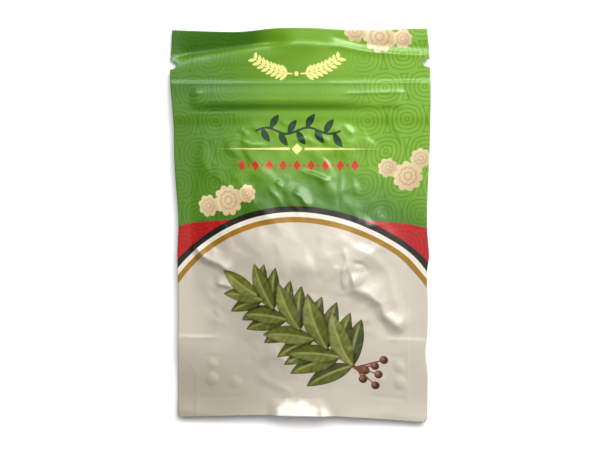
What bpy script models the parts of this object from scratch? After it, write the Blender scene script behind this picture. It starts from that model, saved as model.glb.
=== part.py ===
"""A filled, heat-sealed stand-up spice pouch, lying on its back.

Metres, +Z up. The printed front faces +Z and the pouch's top edge is towards +Y. The origin is
on the surface that the pouch lies on, under the middle of its outline.

The panels are two thin sheets that part over the filling. Every sheet's height is worked out from
the same functions of x and y: where the seal line lies, how much room the inner pieces need, and
how thick the filling is. These x and y are from the film's own middle, which lies a little off the
outline's because the filling draws the edges in unevenly.
"""

import math
import random

import bmesh
import bpy

# The flat film
POUCH_WIDTH = 0.110
POUCH_LENGTH = 0.1668
CORNER_RADIUS = 0.0022

# The edges of the filled pouch. The side edges are (y, x) from the foot up, and the top's and the
# foot's are (x, y) from left to right.
LEFT_EDGE = (
    (-0.0834, -0.0542),
    (-0.0660, -0.0537),
    (-0.0340, -0.0528),
    (-0.0140, -0.0530),
    (0.0030, -0.0523),
    (0.0260, -0.0536),
    (0.0470, -0.0539),
    (0.0665, -0.0554),
    (0.0834, -0.0545),
)
RIGHT_EDGE = (
    (-0.0834, 0.0545),
    (-0.0620, 0.0549),
    (-0.0525, 0.0541),
    (-0.0460, 0.0549),
    (-0.0330, 0.0552),
    (-0.0190, 0.0549),
    (-0.0115, 0.0558),
    (-0.0010, 0.0551),
    (0.0100, 0.0551),
    (0.0400, 0.0564),
    (0.0660, 0.0564),
    (0.0834, 0.0550),
)
TOP_EDGE = (
    (-0.055, 0.0838),
    (-0.038, 0.0831),
    (-0.024, 0.0829),
    (-0.008, 0.0843),
    (0.007, 0.0842),
    (0.020, 0.0834),
    (0.034, 0.0832),
    (0.055, 0.0836),
)
FOOT_EDGE = (
    (-0.055, -0.0833),
    (-0.039, -0.0825),
    (-0.024, -0.0816),
    (-0.008, -0.0811),
    (0.015, -0.0811),
    (0.030, -0.0816),
    (0.055, -0.0829),
)

# The film and the seals
FILM = 0.0003
GAP = 0.0003
SIDE_SEAL = 0.0083
TOP_SEAL = 0.0105
GUSSET_DEPTH = 0.0355
FOLD_CLEARANCE = 0.0010
EDGE_SLOPE = 0.0035
NOTCH_BELOW_TOP = 0.0150
NOTCH_RADIUS = 0.0016
NOTCH_DEPTH = 0.0026

# The closure: heights in its sections are from half way between the two tapes
ZIP_TOP_BELOW_TOP = 0.0228
ZIP_TAPE_HEIGHT = 0.0130
ZIP_SPACE = 0.0016
ZIP_TRACK_ABOVE_FOOT = 0.0064
TRACK_FLAT_HALF = 0.0013
TRACK_SLOPE = 0.0021
TRACK_END_CLEARANCE = 0.0010
CHANNEL_HALF = 0.00065
CHANNEL_WALL = 0.00040
MOUTH_HALF = 0.00042
LIP_LOW = -0.00035
LIP_HIGH = -0.00008
NECK_HALF = 0.00022
BARB_HALF = 0.00045
BARB_LOW = 0.00008
BARB_HIGH = 0.00055

# The filled shape
FILLING = 0.0156
FRONT_SHARE = 0.62
SIDE_FALL = 1.35
SEAM_HEIGHT = 0.0042
TOP_LIFT = 0.0020
TOP_DROOP = 0.0024
FOOT_DROOP = 0.0018
FOOT_ARC_LOW = 0.0105
FOOT_ARC_HIGH = 0.0330
FOOT_RAMP = 0.060
HEAD_RAMP = 0.066

# The dried leaves
LEAF_SEED = 11
LEAF_LAYERS = 6
LEAF_THICKNESS = 0.0006
LEAF_LENGTHS = (0.055, 0.060)
LEAF_WIDTHS = (0.0216, 0.0244)
LEAF_CENTRE_Y = -0.0110
LEAF_SPACING = 0.0265
LAYER_TURN = math.radians(67)
LAYER_TURN_SPREAD = math.radians(6)
LEAF_TURN_SPREAD = math.radians(3)
BLADE_LEAN = 0.92
BLADE_FULLNESS = 0.80
BLADE_TIP_WIDTH = 0.0006
STALK_LENGTH = 0.006
STALK_WIDTH = 0.0016
EDGE_WAVE = 0.05
EDGE_WAVE_COUNT = 4.5
SHEET_WAVE_SHARE = 0.30
SHEET_WAVE_LENGTH_X = 0.052
SHEET_WAVE_LENGTH_Y = 0.042

# What follows from the dimensions above
TOP_Y = POUCH_LENGTH / 2
FOOT_Y = -POUCH_LENGTH / 2
INNER_HALF_WIDTH = POUCH_WIDTH / 2 - SIDE_SEAL
FOLD_Y = FOOT_Y + GUSSET_DEPTH
FOLD_RADIUS = GAP / 2 + FILM
ZIP_TOP_Y = TOP_Y - ZIP_TOP_BELOW_TOP
ZIP_FOOT_Y = ZIP_TOP_Y - ZIP_TAPE_HEIGHT
TRACK_Y = ZIP_FOOT_Y + ZIP_TRACK_ABOVE_FOOT
TRACK_HALF_LENGTH = INNER_HALF_WIDTH - EDGE_SLOPE

# Colour, roughness and metallic value of each plain material
FINISHES = {
    "front_print": ((0.25, 0.40, 0.07), 0.32, 0.0),
    "back_film": ((0.62, 0.58, 0.52), 0.36, 0.25),
    "gusset_film": ((0.62, 0.58, 0.52), 0.36, 0.25),
    "zip_plastic": ((0.82, 0.84, 0.84), 0.30, 0.0),
    "dried_leaf": ((0.20, 0.22, 0.07), 0.60, 0.0),
}
SMOOTH_ANGLE = math.radians(35)


def ramp(value):
    """A smooth step from 0 to 1 as value goes from 0 to 1."""
    t = min(max(value, 0.0), 1.0)
    return t * t * (3 - 2 * t)


def spans(*stretches):
    """Stations along a line, from (start, end, divisions) stretches that follow on from each other."""
    places = [stretches[0][0]]
    for start, end, divisions in stretches:
        places += [start + (end - start) * (i + 1) / divisions for i in range(divisions)]
    return places


def through(points, place):
    """The value at a place of a smooth curve through (place, value) points."""
    places = [p for p, _ in points]
    values = [v for _, v in points]
    last = len(points) - 1
    slopes = []
    for k in range(last + 1):
        before, after = max(k - 1, 0), min(k + 1, last)
        slopes.append((values[after] - values[before]) / (places[after] - places[before]))
    k = max(i for i in range(last) if i == 0 or places[i] <= place)
    step = places[k + 1] - places[k]
    t = min(max((place - places[k]) / step, 0.0), 1.0)
    from_start = (1 + 2 * t) * (1 - t) ** 2 * values[k] + t * (1 - t) ** 2 * step * slopes[k]
    from_end = t**2 * (3 - 2 * t) * values[k + 1] - t**2 * (1 - t) * step * slopes[k + 1]
    return from_start + from_end


def edge_x(side, y):
    """How far a side edge lies from the film's middle line. side is -1 on the left and 1 on the right."""
    edge = side * through(RIGHT_EDGE if side > 0 else LEFT_EDGE, y)
    below_arc = max(CORNER_RADIUS - (y - FOOT_Y), 0.0)
    corner = CORNER_RADIUS - math.sqrt(max(CORNER_RADIUS**2 - below_arc**2, 0.0))
    return edge - corner


def filling(x, y):
    """How far the contents hold the two panels apart, over what the seals and inner strips need."""
    across = min(abs(x) / INNER_HALF_WIDTH, 1.0)
    arc_y = FOOT_Y + FOOT_ARC_LOW + (FOOT_ARC_HIGH - FOOT_ARC_LOW) * across**2
    crown = (1 - across**2) ** SIDE_FALL
    foot = ramp((y - arc_y) / FOOT_RAMP)
    head = ramp((ZIP_FOOT_Y - y) / HEAD_RAMP)
    return FILLING * crown * foot * head


def zip_half_space(x, y):
    """Half the distance between the two zip tapes.

    The track parts them. They come together above and below it, and are crushed in the side seals.
    """
    together = GAP / 2
    parted = ZIP_SPACE / 2
    at_track = ramp((TRACK_FLAT_HALF + TRACK_SLOPE - abs(y - TRACK_Y)) / TRACK_SLOPE)
    inside_seals = 1 - ramp((abs(x) - TRACK_HALF_LENGTH) / EDGE_SLOPE)
    return together + (parted - together) * at_track * inside_seals


def room(x, y):
    """The gap between the panels' inner faces where nothing but the inner strips holds them apart."""
    sealed = GAP
    gusset = 2 * FILM + 3 * GAP
    closure = 2 * zip_half_space(x, y) + 2 * FILM + 2 * GAP
    at_gusset = ramp((FOLD_Y + EDGE_SLOPE - y) / (EDGE_SLOPE - FOLD_CLEARANCE))
    below_zip_top = ramp((ZIP_TOP_Y + EDGE_SLOPE - y) / EDGE_SLOPE)
    above_zip_foot = ramp((y - ZIP_FOOT_Y + EDGE_SLOPE) / EDGE_SLOPE)
    at_zip = min(below_zip_top, above_zip_foot)
    return sealed + (gusset - sealed) * at_gusset + (closure - sealed) * at_zip


def middle(x, y):
    """The height half way between the panels' seals.

    The top band arches up in the middle and droops at its corners, and the foot's corners droop.
    """
    arch = math.cos(math.pi * x / POUCH_WIDTH) ** 2
    towards_top = ramp((y - ZIP_FOOT_Y) / (TOP_Y - ZIP_FOOT_Y))
    towards_foot = ramp((FOLD_Y - y) / (FOLD_Y - FOOT_Y))
    top = towards_top * (TOP_LIFT * arch - TOP_DROOP * (1 - arch))
    foot = towards_foot * FOOT_DROOP * (1 - arch)
    return SEAM_HEIGHT + top - foot


def front_inner(x, y):
    """Height of the front panel's inner face."""
    return middle(x, y) + room(x, y) / 2 + FRONT_SHARE * filling(x, y)


def front_outer(x, y):
    """Height of the front panel's printed face."""
    return front_inner(x, y) + FILM


def back_inner(x, y):
    """Height of the back panel's inner face, pressed flat where the pouch lies on its surface."""
    hanging = middle(x, y) - room(x, y) / 2 - (1 - FRONT_SHARE) * filling(x, y)
    return max(hanging, FILM)


def back_outer(x, y):
    """Height of the back panel's outer face."""
    return back_inner(x, y) - FILM


def panel_columns():
    """Stations across a panel, as shares of its half width, with one at each seal and zip track end."""
    seal = INNER_HALF_WIDTH / (POUCH_WIDTH / 2)
    track = TRACK_HALF_LENGTH / (POUCH_WIDTH / 2)
    return spans((-1, -seal, 2), (-seal, -track, 1), (-track, track, 16), (track, seal, 1), (seal, 1, 2))


def zip_stretches():
    """The stretches up a zip tape: flat, sloping, flat over the track, sloping and flat again."""
    reach = TRACK_FLAT_HALF + TRACK_SLOPE
    places = [ZIP_FOOT_Y, TRACK_Y - reach, TRACK_Y - TRACK_FLAT_HALF]
    places += [TRACK_Y + TRACK_FLAT_HALF, TRACK_Y + reach, ZIP_TOP_Y]
    return [(start, end, 1) for start, end in zip(places, places[1:])]


def panel_rows():
    """Stations up a panel: close together at the foot corners, the fold and the zip."""
    corner_y = FOOT_Y + CORNER_RADIUS
    return spans(
        (FOOT_Y, corner_y, 3),
        (corner_y, FOLD_Y + FOLD_CLEARANCE, 6),
        (FOLD_Y + FOLD_CLEARANCE, FOLD_Y + EDGE_SLOPE, 1),
        (FOLD_Y + EDGE_SLOPE, ZIP_FOOT_Y - EDGE_SLOPE, 16),
        (ZIP_FOOT_Y - EDGE_SLOPE, ZIP_FOOT_Y, 1),
        *zip_stretches(),
        (ZIP_TOP_Y, ZIP_TOP_Y + EDGE_SLOPE, 1),
        (ZIP_TOP_Y + EDGE_SLOPE, TOP_Y - TOP_SEAL, 2),
        (TOP_Y - TOP_SEAL, TOP_Y, 2),
    )


def on_outline(u, y):
    """x and y of a panel's grid point, from its share of the half width and its place up the pouch."""
    x = u * edge_x(1 if u > 0 else -1, y)
    flat_x = u * POUCH_WIDTH / 2
    top_share = ramp((y - ZIP_TOP_Y) / (TOP_Y - ZIP_TOP_Y))
    foot_share = ramp((FOLD_Y - y) / (FOLD_Y - FOOT_Y))
    top_shift = through(TOP_EDGE, flat_x) - TOP_Y
    foot_shift = through(FOOT_EDGE, flat_x) - FOOT_Y
    return x, y + top_share * top_shift + foot_share * foot_shift


def film_middle():
    """Where the film's middle lies, from the middle of the outline."""
    edges = [on_outline(u, y) for u in (-1, 1) for y in panel_rows()]
    edges += [on_outline(u, y) for u in panel_columns() for y in (FOOT_Y, TOP_Y)]
    x_places = [x for x, _ in edges]
    y_places = [y for _, y in edges]
    return -(min(x_places) + max(x_places)) / 2, -(min(y_places) + max(y_places)) / 2


def object_from(name, mesh_data):
    """Links an object that holds a finished bmesh, placed by the film's middle."""
    mesh = bpy.data.meshes.new(name)
    mesh_data.to_mesh(mesh)
    mesh_data.free()
    made = bpy.data.objects.new(name, mesh)
    made.location = (*film_middle(), 0)
    bpy.context.scene.collection.objects.link(made)
    return made


def closed_sheet(name, columns, rows, place, lower, upper):
    """A thin closed solid between two height functions over a grid.

    place(u, v) gives x and y for a column and a row. lower(x, y) and upper(x, y) give heights.
    """
    sheet = bmesh.new()
    low, high = [], []
    for grid, height in ((low, lower), (high, upper)):
        for v in rows:
            points = [place(u, v) for u in columns]
            grid.append([sheet.verts.new((x, y, height(x, y))) for x, y in points])
    row_steps = range(len(rows) - 1)
    column_steps = range(len(columns) - 1)
    for r in row_steps:
        for c in column_steps:
            sheet.faces.new((low[r][c], low[r + 1][c], low[r + 1][c + 1], low[r][c + 1]))
            sheet.faces.new((high[r][c], high[r][c + 1], high[r + 1][c + 1], high[r + 1][c]))
    for r in row_steps:
        sheet.faces.new((low[r][0], high[r][0], high[r + 1][0], low[r + 1][0]))
        sheet.faces.new((low[r][-1], low[r + 1][-1], high[r + 1][-1], high[r][-1]))
    for c in column_steps:
        sheet.faces.new((low[0][c], low[0][c + 1], high[0][c + 1], high[0][c]))
        sheet.faces.new((low[-1][c], high[-1][c], high[-1][c + 1], low[-1][c + 1]))
    bmesh.ops.triangulate(sheet, faces=sheet.faces[:])
    return object_from(name, sheet)


def plain_material(name):
    """The plain Principled material of one finish, made once."""
    material = bpy.data.materials.get(name)
    if material is None:
        material = bpy.data.materials.new(name)
        material.use_nodes = True
        colour, roughness, metallic = FINISHES[name]
        shader = material.node_tree.nodes["Principled BSDF"]
        shader.inputs["Base Color"].default_value = (*colour, 1)
        shader.inputs["Roughness"].default_value = roughness
        shader.inputs["Metallic"].default_value = metallic
    return material


def finish(made, material_name):
    """Gives an object its material and smooth shading with sharp edges kept."""
    made.data.materials.clear()
    made.data.materials.append(plain_material(material_name))
    made.data.shade_smooth()
    made.data.set_sharp_from_angle(angle=SMOOTH_ANGLE)


def notch_cutter(name, side):
    """A round-ended cutter that opens a tear notch in both panels at one side edge."""
    middle_x, middle_y = film_middle()
    notch_y = TOP_Y - NOTCH_BELOW_TOP
    x = side * (edge_x(side, notch_y) - NOTCH_DEPTH + NOTCH_RADIUS)
    place = (x + middle_x, notch_y + middle_y, SEAM_HEIGHT)
    bpy.ops.mesh.primitive_cylinder_add(vertices=20, radius=NOTCH_RADIUS, depth=0.03, location=place)
    cutter = bpy.context.object
    cutter.name = name
    cutter.hide_render = True
    cutter.display_type = "WIRE"
    return cutter


def add_boolean(made, other, operation):
    """Adds an exact Boolean modifier to an object."""
    modifier = made.modifiers.new(other.name, "BOOLEAN")
    modifier.operation = operation
    modifier.solver = "EXACT"
    modifier.object = other


def build_panels():
    """The printed front sheet and the back sheet, with a tear notch at each side."""
    notches = [notch_cutter("left_notch_cutter", -1), notch_cutter("right_notch_cutter", 1)]
    sheets = (
        ("front_panel", front_inner, front_outer, "front_print"),
        ("back_panel", back_outer, back_inner, "back_film"),
    )
    for name, lower, upper, material_name in sheets:
        panel = closed_sheet(name, panel_columns(), panel_rows(), on_outline, lower, upper)
        for cutter in notches:
            add_boolean(panel, cutter, "DIFFERENCE")
        finish(panel, material_name)


def fold_path(radius):
    """One face of the gusset, as (y, height over the middle) points.

    The path goes up the front leaf, half way round the fold and down the back leaf.
    """
    corner_y = FOOT_Y + CORNER_RADIUS
    fold_centre = FOLD_Y - FOLD_RADIUS
    rows = spans((FOOT_Y, corner_y, 3), (corner_y, fold_centre, 5))
    angles = [math.radians(a) for a in (60, 30, 0, -30, -60)]
    rising = [(y, radius) for y in rows]
    fold = [(fold_centre + radius * math.cos(a), radius * math.sin(a)) for a in angles]
    falling = [(y, -radius) for y in reversed(rows)]
    return rising + fold + falling


def build_gusset():
    """The foot sheet, folded up between the panels: two leaves that join at the fold."""
    outside = fold_path(FOLD_RADIUS)
    inside = fold_path(FOLD_RADIUS - FILM)
    gusset = bmesh.new()
    stations = []
    for u in panel_columns():
        pair = []
        for path in (outside, inside):
            places = [(*on_outline(u, y), offset) for y, offset in path]
            pair.append([gusset.verts.new((x, y, middle(x, y) + offset)) for x, y, offset in places])
        stations.append(pair)
    steps = range(len(outside) - 1)
    for (out_a, in_a), (out_b, in_b) in zip(stations, stations[1:]):
        for i in steps:
            gusset.faces.new((out_a[i], out_a[i + 1], out_b[i + 1], out_b[i]))
            gusset.faces.new((in_a[i], in_b[i], in_b[i + 1], in_a[i + 1]))
        for i in (0, -1):
            gusset.faces.new((out_a[i], out_b[i], in_b[i], in_a[i]))
    for outer, inner in (stations[0], stations[-1]):
        for i in steps:
            gusset.faces.new((outer[i], inner[i], inner[i + 1], outer[i + 1]))
    bmesh.ops.triangulate(gusset, faces=gusset.faces[:])
    bmesh.ops.recalc_face_normals(gusset, faces=gusset.faces[:])
    finish(object_from("bottom_gusset", gusset), "gusset_film")


def zip_tape(name, side):
    """One tape of the closure. side is 1 for the front panel's tape and -1 for the back's."""
    trim = 1 - GAP / (POUCH_WIDTH / 2)
    columns = [u * trim if abs(u) == 1 else u for u in panel_columns()]
    rows = spans(*zip_stretches())

    def near(x, y):
        return middle(x, y) + side * zip_half_space(x, y)

    def far(x, y):
        return near(x, y) + side * FILM

    lower, upper = (near, far) if side > 0 else (far, near)
    return closed_sheet(name, columns, rows, on_outline, lower, upper)


def track_bar(name, section):
    """A closed bar along the zip's track, whose outline section lists as (y, height) from the middle."""
    bar = bmesh.new()
    end = TRACK_HALF_LENGTH - TRACK_END_CLEARANCE
    rings = []
    for x in spans((-end, end, 16)):
        height = middle(x, TRACK_Y)
        rings.append([bar.verts.new((x, TRACK_Y + y, height + z)) for y, z in section])
    for left, right in zip(rings, rings[1:]):
        for i in range(len(section)):
            bar.faces.new((left[i - 1], left[i], right[i], right[i - 1]))
    for ring in (rings[0], rings[-1]):
        bar.faces.new(ring)
    bmesh.ops.triangulate(bar, faces=bar.faces[:])
    bmesh.ops.recalc_face_normals(bar, faces=bar.faces[:])
    return object_from(name, bar)


def fuse(made, others):
    """Joins other solids to one and applies the result, so that the piece is one body."""
    for other in others:
        add_boolean(made, other, "UNION")
    bpy.context.view_layer.update()
    graph = bpy.context.evaluated_depsgraph_get()
    fused = bpy.data.meshes.new_from_object(made.evaluated_get(graph))
    made.modifiers.clear()
    made.data = fused
    for other in others:
        bpy.data.objects.remove(other)


def build_zip():
    """The two closure strips: a channel on the front panel's tape and a barbed rib on the back's."""
    root = ZIP_SPACE / 2 + FILM / 2
    jaws = []
    for name, side in (("lower_jaw", -1), ("upper_jaw", 1)):
        outer = side * (CHANNEL_HALF + CHANNEL_WALL)
        wall = side * CHANNEL_HALF
        lip = side * MOUTH_HALF
        outside = [(outer, root), (outer, LIP_LOW), (lip, LIP_LOW)]
        inside = [(lip, LIP_HIGH), (wall, LIP_HIGH), (wall, root)]
        jaws.append(track_bar(name, outside + inside))
    groove = zip_tape("zip_groove", 1)
    fuse(groove, jaws)
    finish(groove, "zip_plastic")

    half_section = [(NECK_HALF, -root), (NECK_HALF, BARB_LOW), (BARB_HALF, BARB_LOW), (NECK_HALF, BARB_HIGH)]
    mirrored = [(-y, z) for y, z in reversed(half_section)]
    rib = zip_tape("zip_rib", -1)
    fuse(rib, [track_bar("rib_bar", half_section + mirrored)])
    finish(rib, "zip_plastic")


def filling_height(x, y, share):
    """Height of a sheet that lies a share of the way up through the filling."""
    low = back_inner(x, y) + GAP
    high = front_inner(x, y) - GAP
    return low + share * (high - low)


def leaf_half_width(along, length, width):
    """Half width of a bay leaf: a narrow stalk, then a pointed oval blade."""
    if along <= STALK_LENGTH:
        return STALK_WIDTH / 2
    t = (along - STALK_LENGTH) / (length - STALK_LENGTH)
    blade = max(math.sin(math.pi * t**BLADE_LEAN), 0.0) ** BLADE_FULLNESS
    narrowest = STALK_WIDTH + (BLADE_TIP_WIDTH - STALK_WIDTH) * t
    return max(width * blade, narrowest) / 2


def build_leaf(name, layer, centre, angle, length, width, wave_starts):
    """One dried leaf, which follows its layer of the filling and waves a little within it."""
    share = (layer + 0.5) / LEAF_LAYERS
    stations = spans((0, STALK_LENGTH, 2), (STALK_LENGTH, length, 11))
    cos_a = math.cos(angle)
    sin_a = math.sin(angle)

    def place(side, along):
        scallop = math.sin(wave_starts[0] + 2 * math.pi * EDGE_WAVE_COUNT * along / length)
        local_x = along - length / 2
        local_y = -side * leaf_half_width(along, length, width) * (1 + EDGE_WAVE * scallop)
        x = centre[0] + local_x * cos_a - local_y * sin_a
        y = centre[1] + local_x * sin_a + local_y * cos_a
        return x, y

    def leaf_middle(x, y):
        layer_depth = (filling_height(x, y, 1) - filling_height(x, y, 0)) / LEAF_LAYERS
        slack = max(layer_depth - LEAF_THICKNESS - GAP, 0)
        wave_x = math.sin(wave_starts[0] + 2 * math.pi * x / SHEET_WAVE_LENGTH_X)
        wave_y = math.sin(wave_starts[1] + 2 * math.pi * y / SHEET_WAVE_LENGTH_Y)
        return filling_height(x, y, share) + SHEET_WAVE_SHARE * slack * wave_x * wave_y

    def leaf_under(x, y):
        return leaf_middle(x, y) - LEAF_THICKNESS / 2

    def leaf_top(x, y):
        return leaf_middle(x, y) + LEAF_THICKNESS / 2

    leaf = closed_sheet(name, (-1, 0, 1), stations, place, leaf_under, leaf_top)
    finish(leaf, "dried_leaf")


def build_leaves():
    """The filling: layers of leaves, two side by side, each layer turned from the last."""
    draw = random.Random(LEAF_SEED)
    number = 0
    for layer in range(LEAF_LAYERS):
        turn = math.pi / 2 + LAYER_TURN * layer + draw.uniform(-1, 1) * LAYER_TURN_SPREAD
        for place in (-0.5, 0.5):
            number += 1
            turned_over = math.pi * draw.randint(0, 1)
            angle = turn + turned_over + draw.uniform(-1, 1) * LEAF_TURN_SPREAD
            shift = place * LEAF_SPACING
            centre = (-math.sin(turn) * shift, LEAF_CENTRE_Y + math.cos(turn) * shift)
            length = draw.uniform(*LEAF_LENGTHS)
            width = draw.uniform(*LEAF_WIDTHS)
            wave_starts = (draw.uniform(0, 2 * math.pi), draw.uniform(0, 2 * math.pi))
            build_leaf(f"bay_leaf_{number:02d}", layer, centre, angle, length, width, wave_starts)


def main():
    """Clears the scene and builds the pouch, outside first."""
    for old in list(bpy.data.objects):
        bpy.data.objects.remove(old)
    build_panels()
    build_gusset()
    build_zip()
    build_leaves()


main()
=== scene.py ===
"""A filled, heat-sealed spice pouch lying on its back: film, seals, closure, leaves and print.

Metres throughout, except where a name or a docstring says millimetres: the creases and the print
are laid out in millimetres on the flat film, from its middle, +X right and +Y to the top edge.
"""

import logging
import math
import random
from dataclasses import dataclass, field
from enum import Enum
from itertools import pairwise
from typing import Iterable, Sequence

import bmesh
import bpy
import numpy as np
from mathutils import Matrix, Vector
from mathutils.geometry import delaunay_2d_cdt


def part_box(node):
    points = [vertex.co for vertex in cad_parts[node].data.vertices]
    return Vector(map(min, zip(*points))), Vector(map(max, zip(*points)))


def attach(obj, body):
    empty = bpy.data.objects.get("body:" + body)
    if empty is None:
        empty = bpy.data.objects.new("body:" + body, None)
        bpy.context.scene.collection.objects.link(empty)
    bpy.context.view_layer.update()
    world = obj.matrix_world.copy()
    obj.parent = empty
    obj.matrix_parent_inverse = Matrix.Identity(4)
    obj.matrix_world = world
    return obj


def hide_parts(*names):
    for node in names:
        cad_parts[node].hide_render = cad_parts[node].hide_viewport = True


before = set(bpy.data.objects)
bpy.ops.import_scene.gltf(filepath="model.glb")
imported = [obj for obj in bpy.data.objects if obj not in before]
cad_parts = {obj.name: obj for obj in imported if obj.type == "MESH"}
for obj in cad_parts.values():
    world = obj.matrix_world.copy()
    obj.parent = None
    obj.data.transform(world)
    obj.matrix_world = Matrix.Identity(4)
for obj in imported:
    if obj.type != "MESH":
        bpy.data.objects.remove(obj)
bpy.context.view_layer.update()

LOG = logging.getLogger("pouch")
MM = 0.001
ROOT = "root"
# What the studio's light and the film's gloss make of an ink: seen = light x ink + gloss
FILM_LIGHT = 1.15
FILM_GLOSS = 0.040

Point = tuple[float, float]
Colour = tuple[float, float, float]

# The edges of the filled pouch, in millimetres from the film's middle. The side edges are (y, x)
# from the foot up, and the top's and the foot's are (x, y) from left to right.
LEFT_EDGE = (
    (-83.4, -54.2), (-66.0, -53.7), (-34.0, -52.8), (-14.0, -53.0), (3.0, -52.3),
    (26.0, -53.6), (47.0, -53.9), (66.5, -55.4), (83.4, -54.5),
)
RIGHT_EDGE = (
    (-83.4, 54.5), (-62.0, 54.9), (-52.5, 54.1), (-46.0, 54.9), (-33.0, 55.2), (-19.0, 54.9),
    (-11.5, 55.8), (-1.0, 55.1), (10.0, 55.1), (40.0, 56.4), (66.0, 56.4), (83.4, 55.0),
)
TOP_EDGE = (
    (-55.0, 83.8), (-38.0, 83.1), (-24.0, 82.9), (-8.0, 84.3), (7.0, 84.2), (20.0, 83.4),
    (34.0, 83.2), (55.0, 83.6),
)
FOOT_EDGE = (
    (-55.0, -83.3), (-39.0, -82.5), (-24.0, -81.6), (-8.0, -81.1), (15.0, -81.1), (30.0, -81.6),
    (55.0, -82.9),
)


def ramp(value: np.ndarray) -> np.ndarray:
    """Eases smoothly from 0 to 1.

    Args:
        value: Numbers, of which those below 0 and above 1 are clamped.

    Returns:
        The smooth step of each number.
    """
    t = np.clip(value, 0.0, 1.0)
    return t * t * (3 - 2 * t)


def blend(a: np.ndarray, b: np.ndarray, share: np.ndarray) -> np.ndarray:
    """Goes from a to b.

    Args:
        a: Values where share is 0.
        b: Values where share is 1.
        share: How far from a to b.

    Returns:
        The values between.
    """
    return a + (b - a) * share


def linear(red: int, green: int, blue: int) -> Colour:
    """Turns an 8-bit display colour into the linear one that shaders take.

    Args:
        red: From 0 to 255.
        green: From 0 to 255.
        blue: From 0 to 255.

    Returns:
        The linear red, green and blue.
    """

    def one(value: int) -> float:
        """Linearises one channel."""
        share = value / 255
        return share / 12.92 if share <= 0.04045 else ((share + 0.055) / 1.055) ** 2.4

    return one(red), one(green), one(blue)


def printed(red: int, green: int, blue: int) -> Colour:
    """Turns a display colour seen on the lit film into the ink's own.

    Args:
        red: From 0 to 255.
        green: From 0 to 255.
        blue: From 0 to 255.

    Returns:
        The ink's linear red, green and blue, without the film's gloss and the studio's light.
    """
    seen = linear(red, green, blue)
    return tuple(max((value - FILM_GLOSS) / FILM_LIGHT, 0.004) for value in seen)


def through(points: Sequence[Point], place: np.ndarray) -> np.ndarray:
    """Follows a smooth curve.

    Args:
        points: Places and the curve's values there, by rising place.
        place: Where to read the curve.

    Returns:
        The curve's value at each place.
    """
    places, values = np.array(points).T
    number = np.arange(len(points))
    before = np.maximum(number - 1, 0)
    after = np.minimum(number + 1, len(points) - 1)
    slopes = (values[after] - values[before]) / (places[after] - places[before])
    k = np.clip(np.searchsorted(places, place, side="right") - 1, 0, len(points) - 2)
    step = places[k + 1] - places[k]
    t = np.clip((place - places[k]) / step, 0.0, 1.0)
    from_start = (1 + 2 * t) * (1 - t) ** 2 * values[k] + t * (1 - t) ** 2 * step * slopes[k]
    from_end = t**2 * (3 - 2 * t) * values[k + 1] - t**2 * (1 - t) * step * slopes[k + 1]
    return from_start + from_end


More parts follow.
